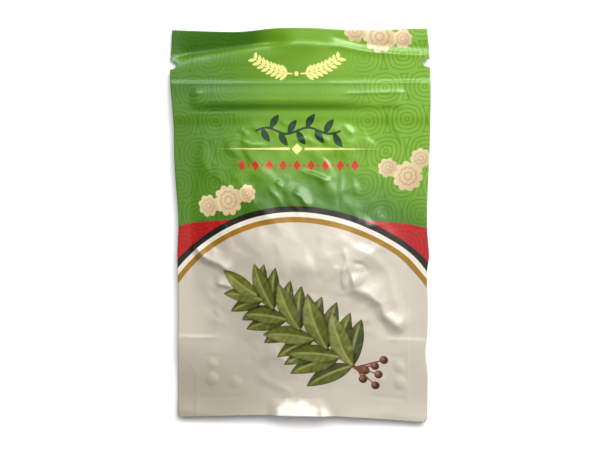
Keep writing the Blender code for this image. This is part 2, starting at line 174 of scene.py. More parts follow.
@dataclass(frozen=True)
class PouchForm:
    """The shape that every sheet shares, as height functions over the pouch.

    x and y are from the film's middle. The driving places come from the solids, and the rest
    repeats how the solids are shaped.

    Attributes:
        film_middle: Where the film's middle lies in the solids' frame.
    """

    film_middle: Point
    fold_y: float
    zip_top_y: float
    zip_foot_y: float
    half_width: float = 0.055
    top_y: float = 0.0834
    foot_y: float = -0.0834
    film: float = 0.0003
    gap: float = 0.0003
    corner_radius: float = 0.0022
    side_seal: float = 0.0083
    edge_slope: float = 0.0035
    fold_clearance: float = 0.0010
    zip_top_below_top: float = 0.0228
    zip_space: float = 0.0016
    track_above_foot: float = 0.0064
    track_flat_half: float = 0.0013
    track_slope: float = 0.0021
    depth: float = 0.0156
    front_share: float = 0.62
    side_fall: float = 1.35
    seam_height: float = 0.0042
    top_lift: float = 0.0020
    top_droop: float = 0.0024
    foot_droop: float = 0.0018
    foot_arc_low: float = 0.0105
    foot_arc_high: float = 0.0330
    foot_ramp: float = 0.060
    head_ramp: float = 0.066
    notch_below_top: Point = (0.0147, 0.0143)
    notch_radius: float = 0.0017
    notch_depth: float = 0.0028
    notch_skew: float = 0.25
    notch_squeeze: float = 0.0070

    @classmethod
    def from_frame(cls) -> "PouchForm":
        """Reads the film's middle, the fold's place and the closure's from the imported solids."""
        zip_low, zip_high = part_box("zip_groove")
        right_reach = float(through(RIGHT_EDGE, np.linspace(cls.foot_y, cls.top_y, 400) / MM).max()) * MM
        middle_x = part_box("front_panel")[1].x - right_reach
        middle_y = zip_high.y - (cls.top_y - cls.zip_top_below_top)
        fold_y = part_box("bottom_gusset")[1].y - middle_y
        return cls((middle_x, middle_y), fold_y, zip_high.y - middle_y, zip_low.y - middle_y)

    @property
    def inner_half_width(self) -> float:
        """From the middle to the side seals' inner edges."""
        return self.half_width - self.side_seal

    def edge_x(self, share: np.ndarray, y: np.ndarray) -> np.ndarray:
        """Gives how far the side edges lie from the middle line, without the tear notches.

        Args:
            share: Places across, of which those above 0 are given the right edge.
            y: Places up the pouch.

        Returns:
            The nearer edge's distance for each place.
        """
        below_arc = np.maximum(self.corner_radius - (y - self.foot_y), 0.0)
        rise = np.sqrt(np.maximum(self.corner_radius**2 - below_arc**2, 0.0))
        edge = np.where(share > 0, through(RIGHT_EDGE, y / MM), -through(LEFT_EDGE, y / MM)) * MM
        return edge - (self.corner_radius - rise)

    def notch(self, share: np.ndarray, y: np.ndarray) -> np.ndarray:
        """Gives how deep the tear notches reach into the outline.

        Args:
            share: Places across, of which those above 0 are given the right notch.
            y: Places up the pouch.

        Returns:
            The depth at each place, which is 0 away from the notches.
        """
        left, right = self.notch_below_top
        deepest_y = self.top_y - np.where(share > 0, right, left) + self.notch_skew * self.notch_radius
        off = (y - deepest_y) / self.notch_radius
        off = off / np.where(off > 0, 1 - self.notch_skew, 1 + self.notch_skew)
        round_end = self.notch_radius * np.sqrt(np.maximum(1 - off**2, 0.0))
        return np.where(np.abs(off) < 1, self.notch_depth - self.notch_radius + round_end, 0.0)

    def place(self, share: np.ndarray, y: np.ndarray) -> tuple[np.ndarray, np.ndarray]:
        """Puts points of the flat film where the filled pouch's edges draw them.

        Args:
            share: From -1 at the left edge to 1 at the right one.
            y: Places up the flat film.

        Returns:
            The x and y of each point.
        """
        reach = self.edge_x(share, y)
        x = share * reach
        start = reach - self.notch_squeeze
        past = np.maximum(np.abs(x) - start, 0.0) / self.notch_squeeze
        x = x - np.sign(x) * past * self.notch(share, y)
        flat_x = share * self.half_width / MM
        top_share = ramp((y - self.zip_top_y) / (self.top_y - self.zip_top_y))
        foot_share = ramp((self.fold_y - y) / (self.fold_y - self.foot_y))
        top_shift = through(TOP_EDGE, flat_x) * MM - self.top_y
        foot_shift = through(FOOT_EDGE, flat_x) * MM - self.foot_y
        return x, y + top_share * top_shift + foot_share * foot_shift

    def filling(self, x: np.ndarray, y: np.ndarray) -> np.ndarray:
        """Gives how far the contents hold the panels apart.

        Args:
            x: Across the pouch.
            y: Up the pouch.

        Returns:
            The distance at each point.
        """
        across = np.minimum(np.abs(x) / self.inner_half_width, 1.0)
        arc_y = self.foot_y + blend(self.foot_arc_low, self.foot_arc_high, across**2)
        crown = (1 - across**2) ** self.side_fall
        foot = ramp((y - arc_y) / self.foot_ramp)
        head = ramp((self.zip_foot_y - y) / self.head_ramp)
        return self.depth * crown * foot * head

    @property
    def track_y(self) -> float:
        """How high the closure's track lies."""
        return self.zip_foot_y + self.track_above_foot

    def zip_half_space(self, x: np.ndarray, y: np.ndarray) -> np.ndarray:
        """Gives half the distance between the closure's tapes.

        The track parts them. They come together above and below it, and in the side seals.

        Args:
            x: Across the pouch.
            y: Up the pouch.

        Returns:
            Half the distance at each point.
        """
        off_track = np.abs(y - self.track_y)
        reach = self.track_flat_half + self.track_slope
        at_track = np.clip((reach - off_track) / self.track_slope, 0.0, 1.0)
        past_end = np.abs(x) - self.inner_half_width + self.edge_slope
        inside_seals = 1 - np.clip(past_end / self.edge_slope, 0.0, 1.0)
        return blend(self.gap / 2, self.zip_space / 2, at_track * inside_seals)

    def room(self, x: np.ndarray, y: np.ndarray) -> np.ndarray:
        """Gives the gap between the solid panels where only the inner strips part them.

        Args:
            x: Across the pouch.
            y: Up the pouch.

        Returns:
            The gap at each point.
        """
        gusset = 2 * self.film + 3 * self.gap
        closure = 2 * self.zip_half_space(x, y) + 2 * self.film + 2 * self.gap
        fold_run = self.edge_slope - self.fold_clearance
        at_gusset = ramp((self.fold_y + self.edge_slope - y) / fold_run)
        below_top = ramp((self.zip_top_y + self.edge_slope - y) / self.edge_slope)
        above_foot = ramp((y - self.zip_foot_y + self.edge_slope) / self.edge_slope)
        at_zip = np.minimum(below_top, above_foot)
        return self.gap + (gusset - self.gap) * at_gusset + (closure - self.gap) * at_zip

    def middle(self, x: np.ndarray, y: np.ndarray) -> np.ndarray:
        """Gives the height half way between the panels' seals.

        Args:
            x: Across the pouch.
            y: Up the pouch.

        Returns:
            The height at each point.
        """
        arch = np.cos(np.pi * x / (2 * self.half_width)) ** 2
        towards_top = ramp((y - self.zip_foot_y) / (self.top_y - self.zip_foot_y))
        towards_foot = ramp((self.fold_y - y) / (self.fold_y - self.foot_y))
        top = towards_top * (self.top_lift * arch - self.top_droop * (1 - arch))
        return self.seam_height + top - towards_foot * self.foot_droop * (1 - arch)

    def between(self, x: np.ndarray, y: np.ndarray, share: float) -> np.ndarray:
        """Gives the height of a layer of the filling.

        Args:
            x: Across the pouch.
            y: Up the pouch.
            share: 0 for the lowest layer and 1 for the highest.

        Returns:
            The layer's height at each point.
        """
        half_room = self.room(x, y) / 2
        filling = self.filling(x, y)
        low = self.middle(x, y) - half_room - (1 - self.front_share) * filling
        high = self.middle(x, y) + half_room + self.front_share * filling
        return blend(np.maximum(low, self.film) + self.gap, high - self.gap, share)


class Layer(Enum):
    """The sheets of the pouch, as signs of which way their outer face looks."""

    FRONT = 1
    BACK = -1


@dataclass(frozen=True)
class FilmStack:
    """How thick the pile of sheets is where nothing but the strips inside parts them."""

    form: PouchForm
    film: float = 0.00020
    touch: float = 0.00003
    over_tape: float = 0.00010
    zip_slope: float = 0.0026
    bulge_above: Point = (0.0022, 0.0072)
    bulge_below: Point = (0.0013, 0.0048)
    fold_slope: float = 0.0016
    lift_run: float = 0.030

    def sealed(self) -> float:
        """Half the pile at a plain seal: one sheet and half the touching gap."""
        return self.film + self.touch

    def gusset(self) -> float:
        """Half the pile at the foot: a panel and a leaf of the gusset."""
        return 2 * self.film + 3 * self.touch

    def bulge(self, x: np.ndarray, y: np.ndarray) -> np.ndarray:
        """Gives how the film bridges the closure's track, softer than the tapes under it.

        Args:
            x: Across the pouch.
            y: Up the pouch.

        Returns:
            Half the distance between the tapes' outer reach at each point.
        """
        form = self.form
        off = y - form.track_y
        start = np.where(off > 0, self.bulge_above[0], self.bulge_below[0])
        end = np.where(off > 0, self.bulge_above[1], self.bulge_below[1])
        over_track = ramp((end - np.abs(off)) / (end - start))
        past_end = np.abs(x) - form.inner_half_width + form.edge_slope
        inside_seals = 1 - np.clip(past_end / form.edge_slope, 0.0, 1.0)
        return blend(form.gap / 2, form.zip_space / 2, over_track * inside_seals)

    def half(self, x: np.ndarray, y: np.ndarray) -> np.ndarray:
        """Gives half the pile's thickness.

        Args:
            x: Across the pouch.
            y: Up the pouch.

        Returns:
            The half thickness at each point.
        """
        form = self.form
        lifted = ramp(form.filling(x, y) / (3.5 * MM))
        soft_run = blend(self.fold_slope, self.lift_run, lifted)
        at_gusset = ramp((form.fold_y + soft_run - y) / soft_run)
        closure = self.bulge(x, y) + form.film + self.over_tape + self.film
        below_top = ramp((form.zip_top_y + self.zip_slope - y) / self.zip_slope)
        above_foot = ramp((y - form.zip_foot_y + 2 * self.zip_slope) / (2 * self.zip_slope))
        at_zip = np.minimum(below_top, above_foot)
        rise = (self.gusset() - self.sealed()) * at_gusset + (closure - self.sealed()) * at_zip
        return self.sealed() + rise


@dataclass(frozen=True)
class SheetGrid:
    """The points of a film sheet, row by row from the foot, each row from left to right.

    Attributes:
        form: The pouch's shape.
        columns: How many points go across, one more than a multiple of stride.
        rows: How many points go up, one more than a multiple of stride.
        stride: How many steps of the outer face make one of the inner face.
        notch_crowding: How much closer together the rows are at the tear notches.
        notch_reach: How far from the notches they are so.
        samples: How many places the rows' spacing is worked out at.
    """

    form: PouchForm
    columns: int
    rows: int
    stride: int = 3
    notch_crowding: float = 2.5
    notch_reach: float = 0.0028
    samples: int = 4000

    def shares(self) -> np.ndarray:
        """Stations across the film, from -1 to 1."""
        return np.linspace(-1.0, 1.0, self.columns)

    def heights(self) -> np.ndarray:
        """Stations up the film, closer together at the tear notches."""
        y = np.linspace(self.form.foot_y, self.form.top_y, self.samples)
        off = (y - self.form.top_y + self.form.notch_below_top[0]) / self.notch_reach
        passed = np.cumsum(1 + self.notch_crowding * np.exp(-(off**2)))
        return np.interp(np.linspace(passed[0], passed[-1], self.rows), passed, y)

    def flat(self) -> tuple[np.ndarray, np.ndarray]:
        """Places on the flat film, in millimetres."""
        x, y = np.meshgrid(self.shares() * self.form.half_width / MM, self.heights() / MM)
        return x, y

    def placed(self) -> tuple[np.ndarray, np.ndarray]:
        """Places on the pouch, in metres."""
        return self.form.place(*np.meshgrid(self.shares(), self.heights()))


@dataclass(frozen=True)
class Crease:
    """One raised or sunken line in the film, in millimetres on the flat film.

    Attributes:
        points: The line's points.
        height: How far it stands up, or down where it is negative.
        left: How wide its slope is to the left of the line's direction.
        right: How wide its slope is to the right.
        rounding: How blunt the crest is.
        taper: How far from each end the line reaches its full height.
    """

    points: tuple[Point, ...]
    height: float
    left: float
    right: float
    rounding: float = 0.35
    taper: float = 5.0

    def length(self) -> float:
        """The line's length."""
        return sum(math.dist(a, b) for a, b in pairwise(self.points))

    def rise(self, x: np.ndarray, y: np.ndarray) -> np.ndarray:
        """Gives the crease's height.

        Args:
            x: Across the flat film, in millimetres.
            y: Up the flat film, in millimetres.

        Returns:
            The height at each point, in millimetres.
        """
        nearest = np.full(x.shape, np.inf)
        side = np.zeros(x.shape)
        along = np.zeros(x.shape)
        passed = 0.0
        for (ax, ay), (bx, by) in pairwise(self.points):
            dx, dy = bx - ax, by - ay
            length = math.hypot(dx, dy)
            t = np.clip(((x - ax) * dx + (y - ay) * dy) / length**2, 0.0, 1.0)
            off_x = x - ax - t * dx
            off_y = y - ay - t * dy
            distance = np.hypot(off_x, off_y)
            nearer = distance < nearest
            nearest = np.where(nearer, distance, nearest)
            side = np.where(nearer, dx * off_y - dy * off_x, side)
            along = np.where(nearer, passed + t * length, along)
            passed += length
        width = np.where(side > 0, self.left, self.right)
        share = (np.sqrt(nearest**2 + self.rounding**2) - self.rounding) / width
        slope = np.clip(1 - share, 0.0, 1.0) ** 2
        ends = ramp(np.minimum(along, passed - along) / min(self.taper, passed / 2))
        return self.height * slope * ends


@dataclass(frozen=True)
class Dimple:
    """A round bump or dent, in millimetres on the flat film."""

    centre: Point
    radius: float
    height: float

    def rise(self, x: np.ndarray, y: np.ndarray) -> np.ndarray:
        """Gives the bump's height at each point of the flat film."""
        off = np.hypot(x - self.centre[0], y - self.centre[1]) / self.radius
        return self.height * ramp(1.25 * (1 - off))


@dataclass(frozen=True)
class View:
    """The camera, and the map of what it sees.

    The map is in millimetres, +X right and +Y up in the picture, at the scale of the flat film.
    The creases are laid out on it.

    Attributes:
        middle: Where the film's middle lies in the solids' frame.
        distance: From the camera to what it looks at.
        azimuth: How far the camera leans to the right, in degrees.
        elevation: How far it leans to the foot, in degrees.
        roll: How far it is turned, in degrees.
        lens: Its focal length in millimetres.
        sensor: How wide its sensor is, in millimetres.
        aim: What it looks at, from the film's middle.
        picture: The picture's width and height in pixels.
        map_origin: The pixel of the map's origin.
        map_scale: How many pixels a millimetre of the map takes.
    """

    middle: Point
    distance: float = 0.9
    azimuth: float = 10.76
    elevation: float = -5.25
    roll: float = -0.49
    lens: float = 127.3
    sensor: float = 36.0
    aim: tuple[float, float, float] = (0.0009, 0.0008, 0.005)
    picture: Point = (600, 451)
    map_origin: Point = (302.0, 225.5)
    map_scale: float = 2.345

    def axes(self) -> tuple[Vector, Vector, Vector]:
        """The camera's right, its up and the direction behind it."""
        azimuth, elevation, roll = (math.radians(a) for a in (self.azimuth, self.elevation, self.roll))
        back = Vector((
            math.sin(azimuth) * math.cos(elevation),
            -math.sin(elevation),
            math.cos(azimuth) * math.cos(elevation),
        ))
        right = Vector((0, 1, 0)).cross(back).normalized()
        up = back.cross(right)
        turned_right = math.cos(roll) * right + math.sin(roll) * up
        turned_up = math.cos(roll) * up - math.sin(roll) * right
        return turned_right, turned_up, back

    def seen(self, x: np.ndarray, y: np.ndarray, z: np.ndarray) -> tuple[np.ndarray, np.ndarray]:
        """Gives where the camera sees points.

        Args:
            x: Across, from the film's middle, in metres.
            y: Up the pouch, likewise.
            z: Height over the floor.

        Returns:
            The points' places on the map.
        """
        right, up, back = self.axes()
        place = Vector(self.aim) + back * self.distance
        off = (x - place.x, y - place.y, z - place.z)
        across, over, behind = (sum(o * a for o, a in zip(off, axis)) for axis in (right, up, back))
        pixels = self.lens / self.sensor * self.picture[0]
        map_x = self.picture[0] / 2 - pixels * across / behind - self.map_origin[0]
        map_y = self.map_origin[1] - self.picture[1] / 2 - pixels * over / behind
        return map_x / self.map_scale, map_y / self.map_scale

    def build(self) -> bpy.types.Object:
        """Puts the camera over the pouch, at the photograph's angle."""
        right, up, back = self.axes()
        data = bpy.data.cameras.new("camera")
        data.sensor_width = self.sensor
        data.lens = self.lens
        data.clip_start = 0.05
        camera = bpy.data.objects.new("camera", data)
        place = Vector(self.aim) + Vector((*self.middle, 0)) + back * self.distance
        camera.matrix_world = Matrix.Translation(place) @ Matrix((right, up, back)).transposed().to_4x4()
        bpy.context.scene.collection.objects.link(camera)
        bpy.context.scene.camera = camera
        return camera


@dataclass(frozen=True)
class PileBend:
    """How the welded sheets bend together at the seals, beyond the plain shape.

    Attributes:
        form: The pouch's shape.
        view: The map that the creases are laid out on.
        creases: The lines along which all the sheets bend.
        foot_curl: How far the middle of the foot's edge curls up, in millimetres.
        curl_depth: How far up the map the curl reaches, likewise.
        curl_sides: Where on the map it starts and ends.
        curl_run: Over what distance it sets in at its sides.
        curl_foot: How far below the map's origin the foot's edge is.
    """

    form: PouchForm
    view: View
    creases: tuple[Crease, ...]
    foot_curl: float = 2.0
    curl_depth: float = 8.4
    curl_sides: Point = (-15.0, 14.5)
    curl_run: float = 6.0
    curl_foot: float = 82.0

    def rise(self, x: np.ndarray, y: np.ndarray) -> np.ndarray:
        """Gives the bend's height.

        Args:
            x: Across the pouch, in metres.
            y: Up the pouch, in metres.

        Returns:
            The height at each point, in metres.
        """
        across, up = self.view.seen(x, y, self.form.middle(x, y))
        above_foot = up + self.curl_foot + 0.4 * np.sin(0.5 * across)
        off_left = ramp((across - self.curl_sides[0]) / self.curl_run)
        off_right = ramp((self.curl_sides[1] - across - 0.45 * above_foot) / self.curl_run)
        curled = np.clip(1 - above_foot / self.curl_depth, 0.0, 1.0)
        total = self.foot_curl * curled * off_left * off_right
        for crease in self.creases:
            total = total + crease.rise(across, up)
        return total * MM


@dataclass(frozen=True)
class Facets:
    """Flat facets with crisp folds between them, as in crumpled film.

    Attributes:
        spacing: The mean distance between the facets' corners, in millimetres.
        height: How far the corners stand up or down, in millimetres.
        seed: The random draw's seed.
        stretch: How much longer the facets are along their direction than across it.
        direction: That direction, in degrees.
        softening: How many times the folds are smoothed.
        scatter: How far a corner strays from its place in the pattern, as a share of the step.
        sunken: How far down the lowest corners are, as a share of the height.
    """

    spacing: float
    height: float
    seed: int
    stretch: float = 1.7
    direction: float = -32.0
    softening: int = 2
    scatter: float = 0.42
    sunken: float = 0.85

    def corners(self, reach_x: float, reach_y: float) -> list[tuple[float, float, float]]:
        """Draws the facets' corners.

        Args:
            reach_x: How far the area reaches to each side.
            reach_y: How far it reaches up and down.

        Returns:
            x, y and height of each corner.
        """
        draw = random.Random(self.seed)
        turn = math.radians(self.direction)
        long_step = self.spacing * math.sqrt(self.stretch)
        short_step = self.spacing / math.sqrt(self.stretch)
        reach = math.hypot(reach_x, reach_y)
        found = []
        for row in range(-int(reach / short_step) - 1, int(reach / short_step) + 2):
            for column in range(-int(reach / long_step) - 1, int(reach / long_step) + 2):
                along = (column + 0.5 * (row % 2) + draw.uniform(-self.scatter, self.scatter)) * long_step
                off = (row + draw.uniform(-self.scatter, self.scatter)) * short_step
                level = self.height * (2 * draw.random() ** 1.3 - self.sunken)
                x = along * math.cos(turn) - off * math.sin(turn)
                y = along * math.sin(turn) + off * math.cos(turn)
                if abs(x) < reach_x + 2 * long_step and abs(y) < reach_y + 2 * long_step:
                    found.append((x, y, level))
        return found

    def rise(self, x: np.ndarray, y: np.ndarray) -> np.ndarray:
        """Gives the facets' height over a grid.

        Args:
            x: Across the flat film, in millimetres.
            y: Up the flat film, in millimetres.

        Returns:
            The height at each point, in millimetres.
        """
        corners = self.corners(float(x.max()), float(y.max()))
        flat = [Vector(c[:2]) for c in corners]
        found = delaunay_2d_cdt(flat, [], [], 0, 1e-4)
        places, faces, sources = found[0], found[2], found[3]
        levels = [corners[source[0]][2] for source in sources]
        total = np.zeros(x.shape)
        for face in faces:
            (ax, ay), (bx, by), (cx, cy) = (places[i] for i in face)
            left, right = np.searchsorted(x[0], (min(ax, bx, cx), max(ax, bx, cx)))
            low, high = np.searchsorted(y[:, 0], (min(ay, by, cy), max(ay, by, cy)))
            window = (slice(low, high + 1), slice(left, right + 1))
            px, py = x[window], y[window]
            area = (bx - ax) * (cy - ay) - (cx - ax) * (by - ay)
            share_b = ((px - ax) * (cy - ay) - (cx - ax) * (py - ay)) / area
            share_c = ((bx - ax) * (py - ay) - (px - ax) * (by - ay)) / area
            level_a, level_b, level_c = (levels[i] for i in face)
            inside = (share_b >= -1e-6) & (share_c >= -1e-6) & (share_b + share_c <= 1 + 1e-6)
            height = level_a + (level_b - level_a) * share_b + (level_c - level_a) * share_c
            total[window] = np.where(inside, height, total[window])
        for _ in range(self.softening):
            total = soften(total)
        return total


def soften(values: np.ndarray) -> np.ndarray:
    """Smooths a grid a little.

    Args:
        values: The grid.

    Returns:
        Each point's weighted mean with its neighbours.
    """
    padded = np.pad(values, 1, mode="edge")
    rows = (padded[:-2] + 2 * padded[1:-1] + padded[2:]) / 4
    return (rows[:, :-2] + 2 * rows[:, 1:-1] + rows[:, 2:]) / 4


@dataclass(frozen=True)
class Relief:
    """What one panel does beyond the filled shape: its creases, crumples and soft waves.

    Attributes:
        form: The pouch's shape.
        creases: The creases, given one by one.
        dimples: The spot seals' bumps.
        facets: The crumples of the loose film.
        wave_height: How high the soft waves are, in millimetres.
        seed: The soft waves' random draw.
        calm_share: How much of the crumples is left over the print's pale field.
        lively_share: How much of them is left over the green field.
        wave_lengths: The soft waves' lengths, in millimetres, from the longest and highest down.
    """

    form: PouchForm
    creases: tuple[Crease, ...]
    dimples: tuple[Dimple, ...]
    facets: tuple[Facets, ...]
    wave_height: float = 0.30
    seed: int = 6
    calm_share: float = 1.0
    lively_share: float = 0.8
    wave_lengths: tuple[int, ...] = (46, 38, 31, 26, 21, 17, 14, 12)

    def looseness(self, x: np.ndarray, y: np.ndarray) -> np.ndarray:
        """Gives how free the film is to crumple: 0 at the seals and the closure, 1 over the filling.

        Args:
            x: Across the flat film, in millimetres.
            y: Up the flat film, in millimetres.

        Returns:
            The looseness at each point.
        """
        form = self.form
        across = np.abs(x) / (form.inner_half_width / MM)
        off_side = ramp((1.0 - across) / 0.22)
        off_zip = ramp((form.zip_foot_y / MM - 0.5 - y) / 6.0)
        arc = (form.foot_y + blend(form.foot_arc_low, form.foot_arc_high, np.minimum(across, 1.0) ** 2)) / MM
        return off_side * off_zip * ramp((y - arc) / 16.0)

    def waves(self, x: np.ndarray, y: np.ndarray) -> np.ndarray:
        """Gives the soft waves that the leaves inside press into the film.

        Args:
            x: Across the flat film, in millimetres.
            y: Up the flat film, in millimetres.

        Returns:
            The waves' height at each point, in millimetres.
        """
        draw = random.Random(self.seed)
        total = np.zeros(x.shape)
        for length in self.wave_lengths:
            angle = draw.uniform(0, math.pi)
            phase = draw.uniform(0, 2 * math.pi)
            turn = 2 * math.pi / length
            part = length / self.wave_lengths[0]
            total += part * np.sin(turn * (x * math.cos(angle) + y * math.sin(angle)) + phase)
        return self.wave_height * total / 2.2

    def height(self, x: np.ndarray, y: np.ndarray, seen_x: np.ndarray, seen_y: np.ndarray) -> np.ndarray:
        """Gives the whole relief.

        Args:
            x: Across the flat film, in millimetres.
            y: Up the flat film, in millimetres.
            seen_x: Across the map that the creases are laid out on.
            seen_y: Up that map.

        Returns:
            The relief at each point, in metres.
        """
        loose = self.looseness(x, y)
        total = self.waves(x, y)
        for facets in self.facets:
            total += facets.rise(x, y) * blend(self.calm_share, self.lively_share, ramp((y + 4.0) / 12.0))
        total *= loose
        for crease in self.creases:
            total += crease.rise(seen_x, seen_y)
        for dimple in self.dimples:
            total += dimple.rise(seen_x, seen_y)
        deepest = 0.06 + 0.13 * self.form.filling(x * MM, y * MM) / MM
        sunken = deepest * (np.exp(np.minimum(total, 0.0) / deepest) - 1)
        return np.where(total < 0, sunken, total) * MM


def pile_creases() -> tuple[Crease, ...]:
    """Lays the lines along which the welded sheets bend together, at the top and foot seals."""
    return (
        Crease(((-62, 71.8), (-40, 74.4), (-17.5, 77.6), (-2, 79.0)), -2.0, 9.5, 6.0, 1.3, 13),
        Crease(((10, 81.5), (26, 77.4), (60, 75.4)), -0.65, 4.5, 2.6, 0.6, 6),
        Crease(((12, 88), (60, 86)), -0.85, 9, 9, 0.5, 8),
        Crease(((-48.8, -58.0), (-45.3, -62.5), (-44.9, -84)), 0.08, 2.4, 0.6, 0.1, 2),
        Crease(((-62, -84), (-60, -46)), -1.3, 30, 30, 4.0, 20),
        Crease(((-56, -78), (-30, -82), (-14, -84)), 0.45, 7, 7, 1.0, 6),
        Crease(((14, -84), (34, -80), (56, -83)), 0.35, 7, 7, 1.0, 6),
    )


def front_creases(form: PouchForm) -> tuple[Crease, ...]:
    """Lays the creases of the printed front that stand out.

    Args:
        form: The pouch's shape.

    Returns:
        The creases, from the top edge down to the foot.
    """
    zip_top = form.zip_top_y / MM
    zip_foot = form.zip_foot_y / MM
    track = form.track_y / MM
    fold = form.fold_y / MM
    reach = form.inner_half_width / MM
    return (
        # The top seal's lower edge, arched, with the film standing up under it
        Crease(((-55, 70.6), (-40, 73.0), (-17.5, 76.2), (0, 77.3), (16, 76.2)), 0.62, 1.8, 6.5, 0.6, 9),
        Crease(((8, 77.0), (17, 76.3), (28.5, 74.0), (42, 73.0), (55, 72.4)), 0.48, 1.6, 3.2, 0.3, 7),
        # The closure: its tape's upper edge, its track and the drop below the track
        Crease(((-54, zip_top - 0.2), (0, zip_top), (20, zip_top + 0.1)), 0.12, 0.8, 0.9, 0.15, 6),
        Crease(((10, zip_top), (54, zip_top + 0.4)), 0.22, 0.9, 0.9, 0.15, 6),
        Crease(((16, track + 2.2), (30, track + 2.5), (46, track + 2.9)), 0.30, 1.4, 0.9, 0.2, 5),
        Crease(((46, track + 3.2), (46.2, track + 0.4)), 0.20, 0.8, 0.8, 0.2, 1),
        Crease(((-49, track + 2.2), (-41, track + 2.3)), 0.24, 1.2, 0.9, 0.2, 3),
        Crease(
            ((-54, track - 1.0), (-17, track - 0.3), (17, track - 0.4), (34, track - 0.4)),
            0.55, 6.5, 4.4, 0.5, 22,
        ),
        Crease(((-50, zip_foot - 0.2), (-25, zip_foot + 0.4)), 0.14, 0.8, 0.8, 0.15, 5),
        Crease(((-47, zip_foot + 1.6), (-30, zip_foot + 1.8)), 0.10, 0.7, 0.7, 0.15, 4),
        # The right side of the filling: a shoulder that curls down to the foot
        Crease(((17.5, -8.5), (19.5, -17), (23.4, -26.9)), 0.55, 4.0, 2.2, 0.4, 5),
        Crease(
            (
                (21.9, -19.1), (23.4, -26.9), (28.8, -29.3), (34.2, -33.2),
                (35.6, -38.2), (41, -42.5), (44.6, -46.2),
            ),
            1.9, 9.0, 5.0, 0.9, 6,
        ),
        Crease(
            ((18.6, -8.0), (29.8, -12.8), (36.6, -20.0), (39.4, -30.5), (41.5, -38)),
            0.55, 3.5, 6.5, 0.8, 7,
        ),
        Crease(((20.6, -15.4), (26.5, -17.0), (28.5, -21)), -0.55, 1.5, 2.6, 0.3, 3),
        Crease(((18.0, -15.0), (18.0, -28.5)), 0.75, 1.7, 2.2, 0.4, 4),
        # The left side of the filling: two slanting ridges, steep below
        Crease(
            ((-46, -6.5), (-42.8, -12.4), (-39.9, -14.1), (-34.3, -16.6), (-29.6, -20.2)),
            1.9, 6.5, 3.4, 0.3, 4,
        ),
        Crease(((-37.0, -23.6), (-35, -24.9), (-29.0, -26.3)), 1.0, 3.6, 1.8, 0.2, 2.5),
        Crease(((-33, 2), (-28, -9), (-20, -14)), -0.45, 4, 4, 1.0, 6),
        # Streaks over the middle of the green
        Crease(((-2.5, 24.0), (5, 21.6), (12.8, 18.4)), 0.75, 2.2, 3.4, 0.25, 4),
        Crease(((-15.5, 17), (-10, 11.5), (-7, 6.5)), 0.55, 3.0, 3.4, 0.4, 5),
        Crease(((-27.5, 37.5), (-22, 34.4), (-14, 34.2)), 0.5, 2.0, 2.6, 0.25, 4),
        Crease(((-6, 35.5), (2, 37.0), (9, 33.5)), 0.4, 2.2, 2.4, 0.3, 4),
        Crease(((-5, 15.5), (0, 12), (3.5, 6.5)), 0.95, 4.2, 2.4, 0.3, 4),
        Crease(((-11.5, 19.5), (-8, 15.5)), 0.55, 3.0, 2.0, 0.3, 2),
        Crease(((17, 44), (23, 38)), 0.60, 4.5, 2.6, 0.3, 3),
        Crease(((-27.5, 42.5), (-22, 37)), 0.60, 4.0, 2.6, 0.3, 3),
        Crease(((4, 39.5), (13, 35.5)), 0.50, 3.5, 2.2, 0.3, 3),
        # The gusset's fold showing through, the creases beside the spot seals and the seal lines
        Crease(((-53, fold + 0.1), (-reach + 14, fold + 0.4)), 0.20, 0.6, 2.4, 0.2, 8),
        Crease(((reach - 14, fold - 0.2), (53, fold - 0.4)), 0.16, 0.6, 2.4, 0.2, 8),
        Crease(((-43, -55.6), (-33, -55.5)), -0.30, 1.1, 1.1, 0.2, 2.5),
        Crease(((36, -55.9), (45, -56.1)), -0.28, 1.1, 1.1, 0.2, 2.5),
        Crease(((-44.5, -73.4), (-25, -72.8)), -0.26, 1.2, 1.4, 0.2, 3),
        Crease(((28, -72.6), (45, -74.3)), -0.30, 1.2, 1.4, 0.2, 3),
        Crease(((45.3, -20), (45.3, -83)), 0.06, 0.5, 2.2, 0.1, 14),
        Crease(((-34, -50.5), (-29, -53.6), (-25.5, -54.2), (-19.7, -58.2)), -0.30, 2.4, 3.0, 0.5, 4),
        Crease(((-20, -63.3), (-14.5, -66.6), (-7.4, -69.7), (-2.7, -72.5)), 0.30, 3.2, 3.4, 0.8, 5),
        Crease(((7, -70), (16, -65.5), (24, -58.5)), 0.20, 3.2, 3.4, 1.0, 6),
    )


def spot_seals() -> tuple[Dimple, ...]:
    """Lays the bumps where the panels are welded through the gusset's punched spots."""
    return (
        Dimple((-38.4, -65.4), 3.5, 0.42),
        Dimple((-28.4, -66.8), 3.4, 0.26),
        Dimple((-38.2, -59.0), 2.9, 0.30),
        Dimple((42.0, -67.2), 3.5, 0.36),
        Dimple((32.6, -65.4), 3.4, 0.24),
        Dimple((41.4, -60.2), 2.9, 0.30),
    )


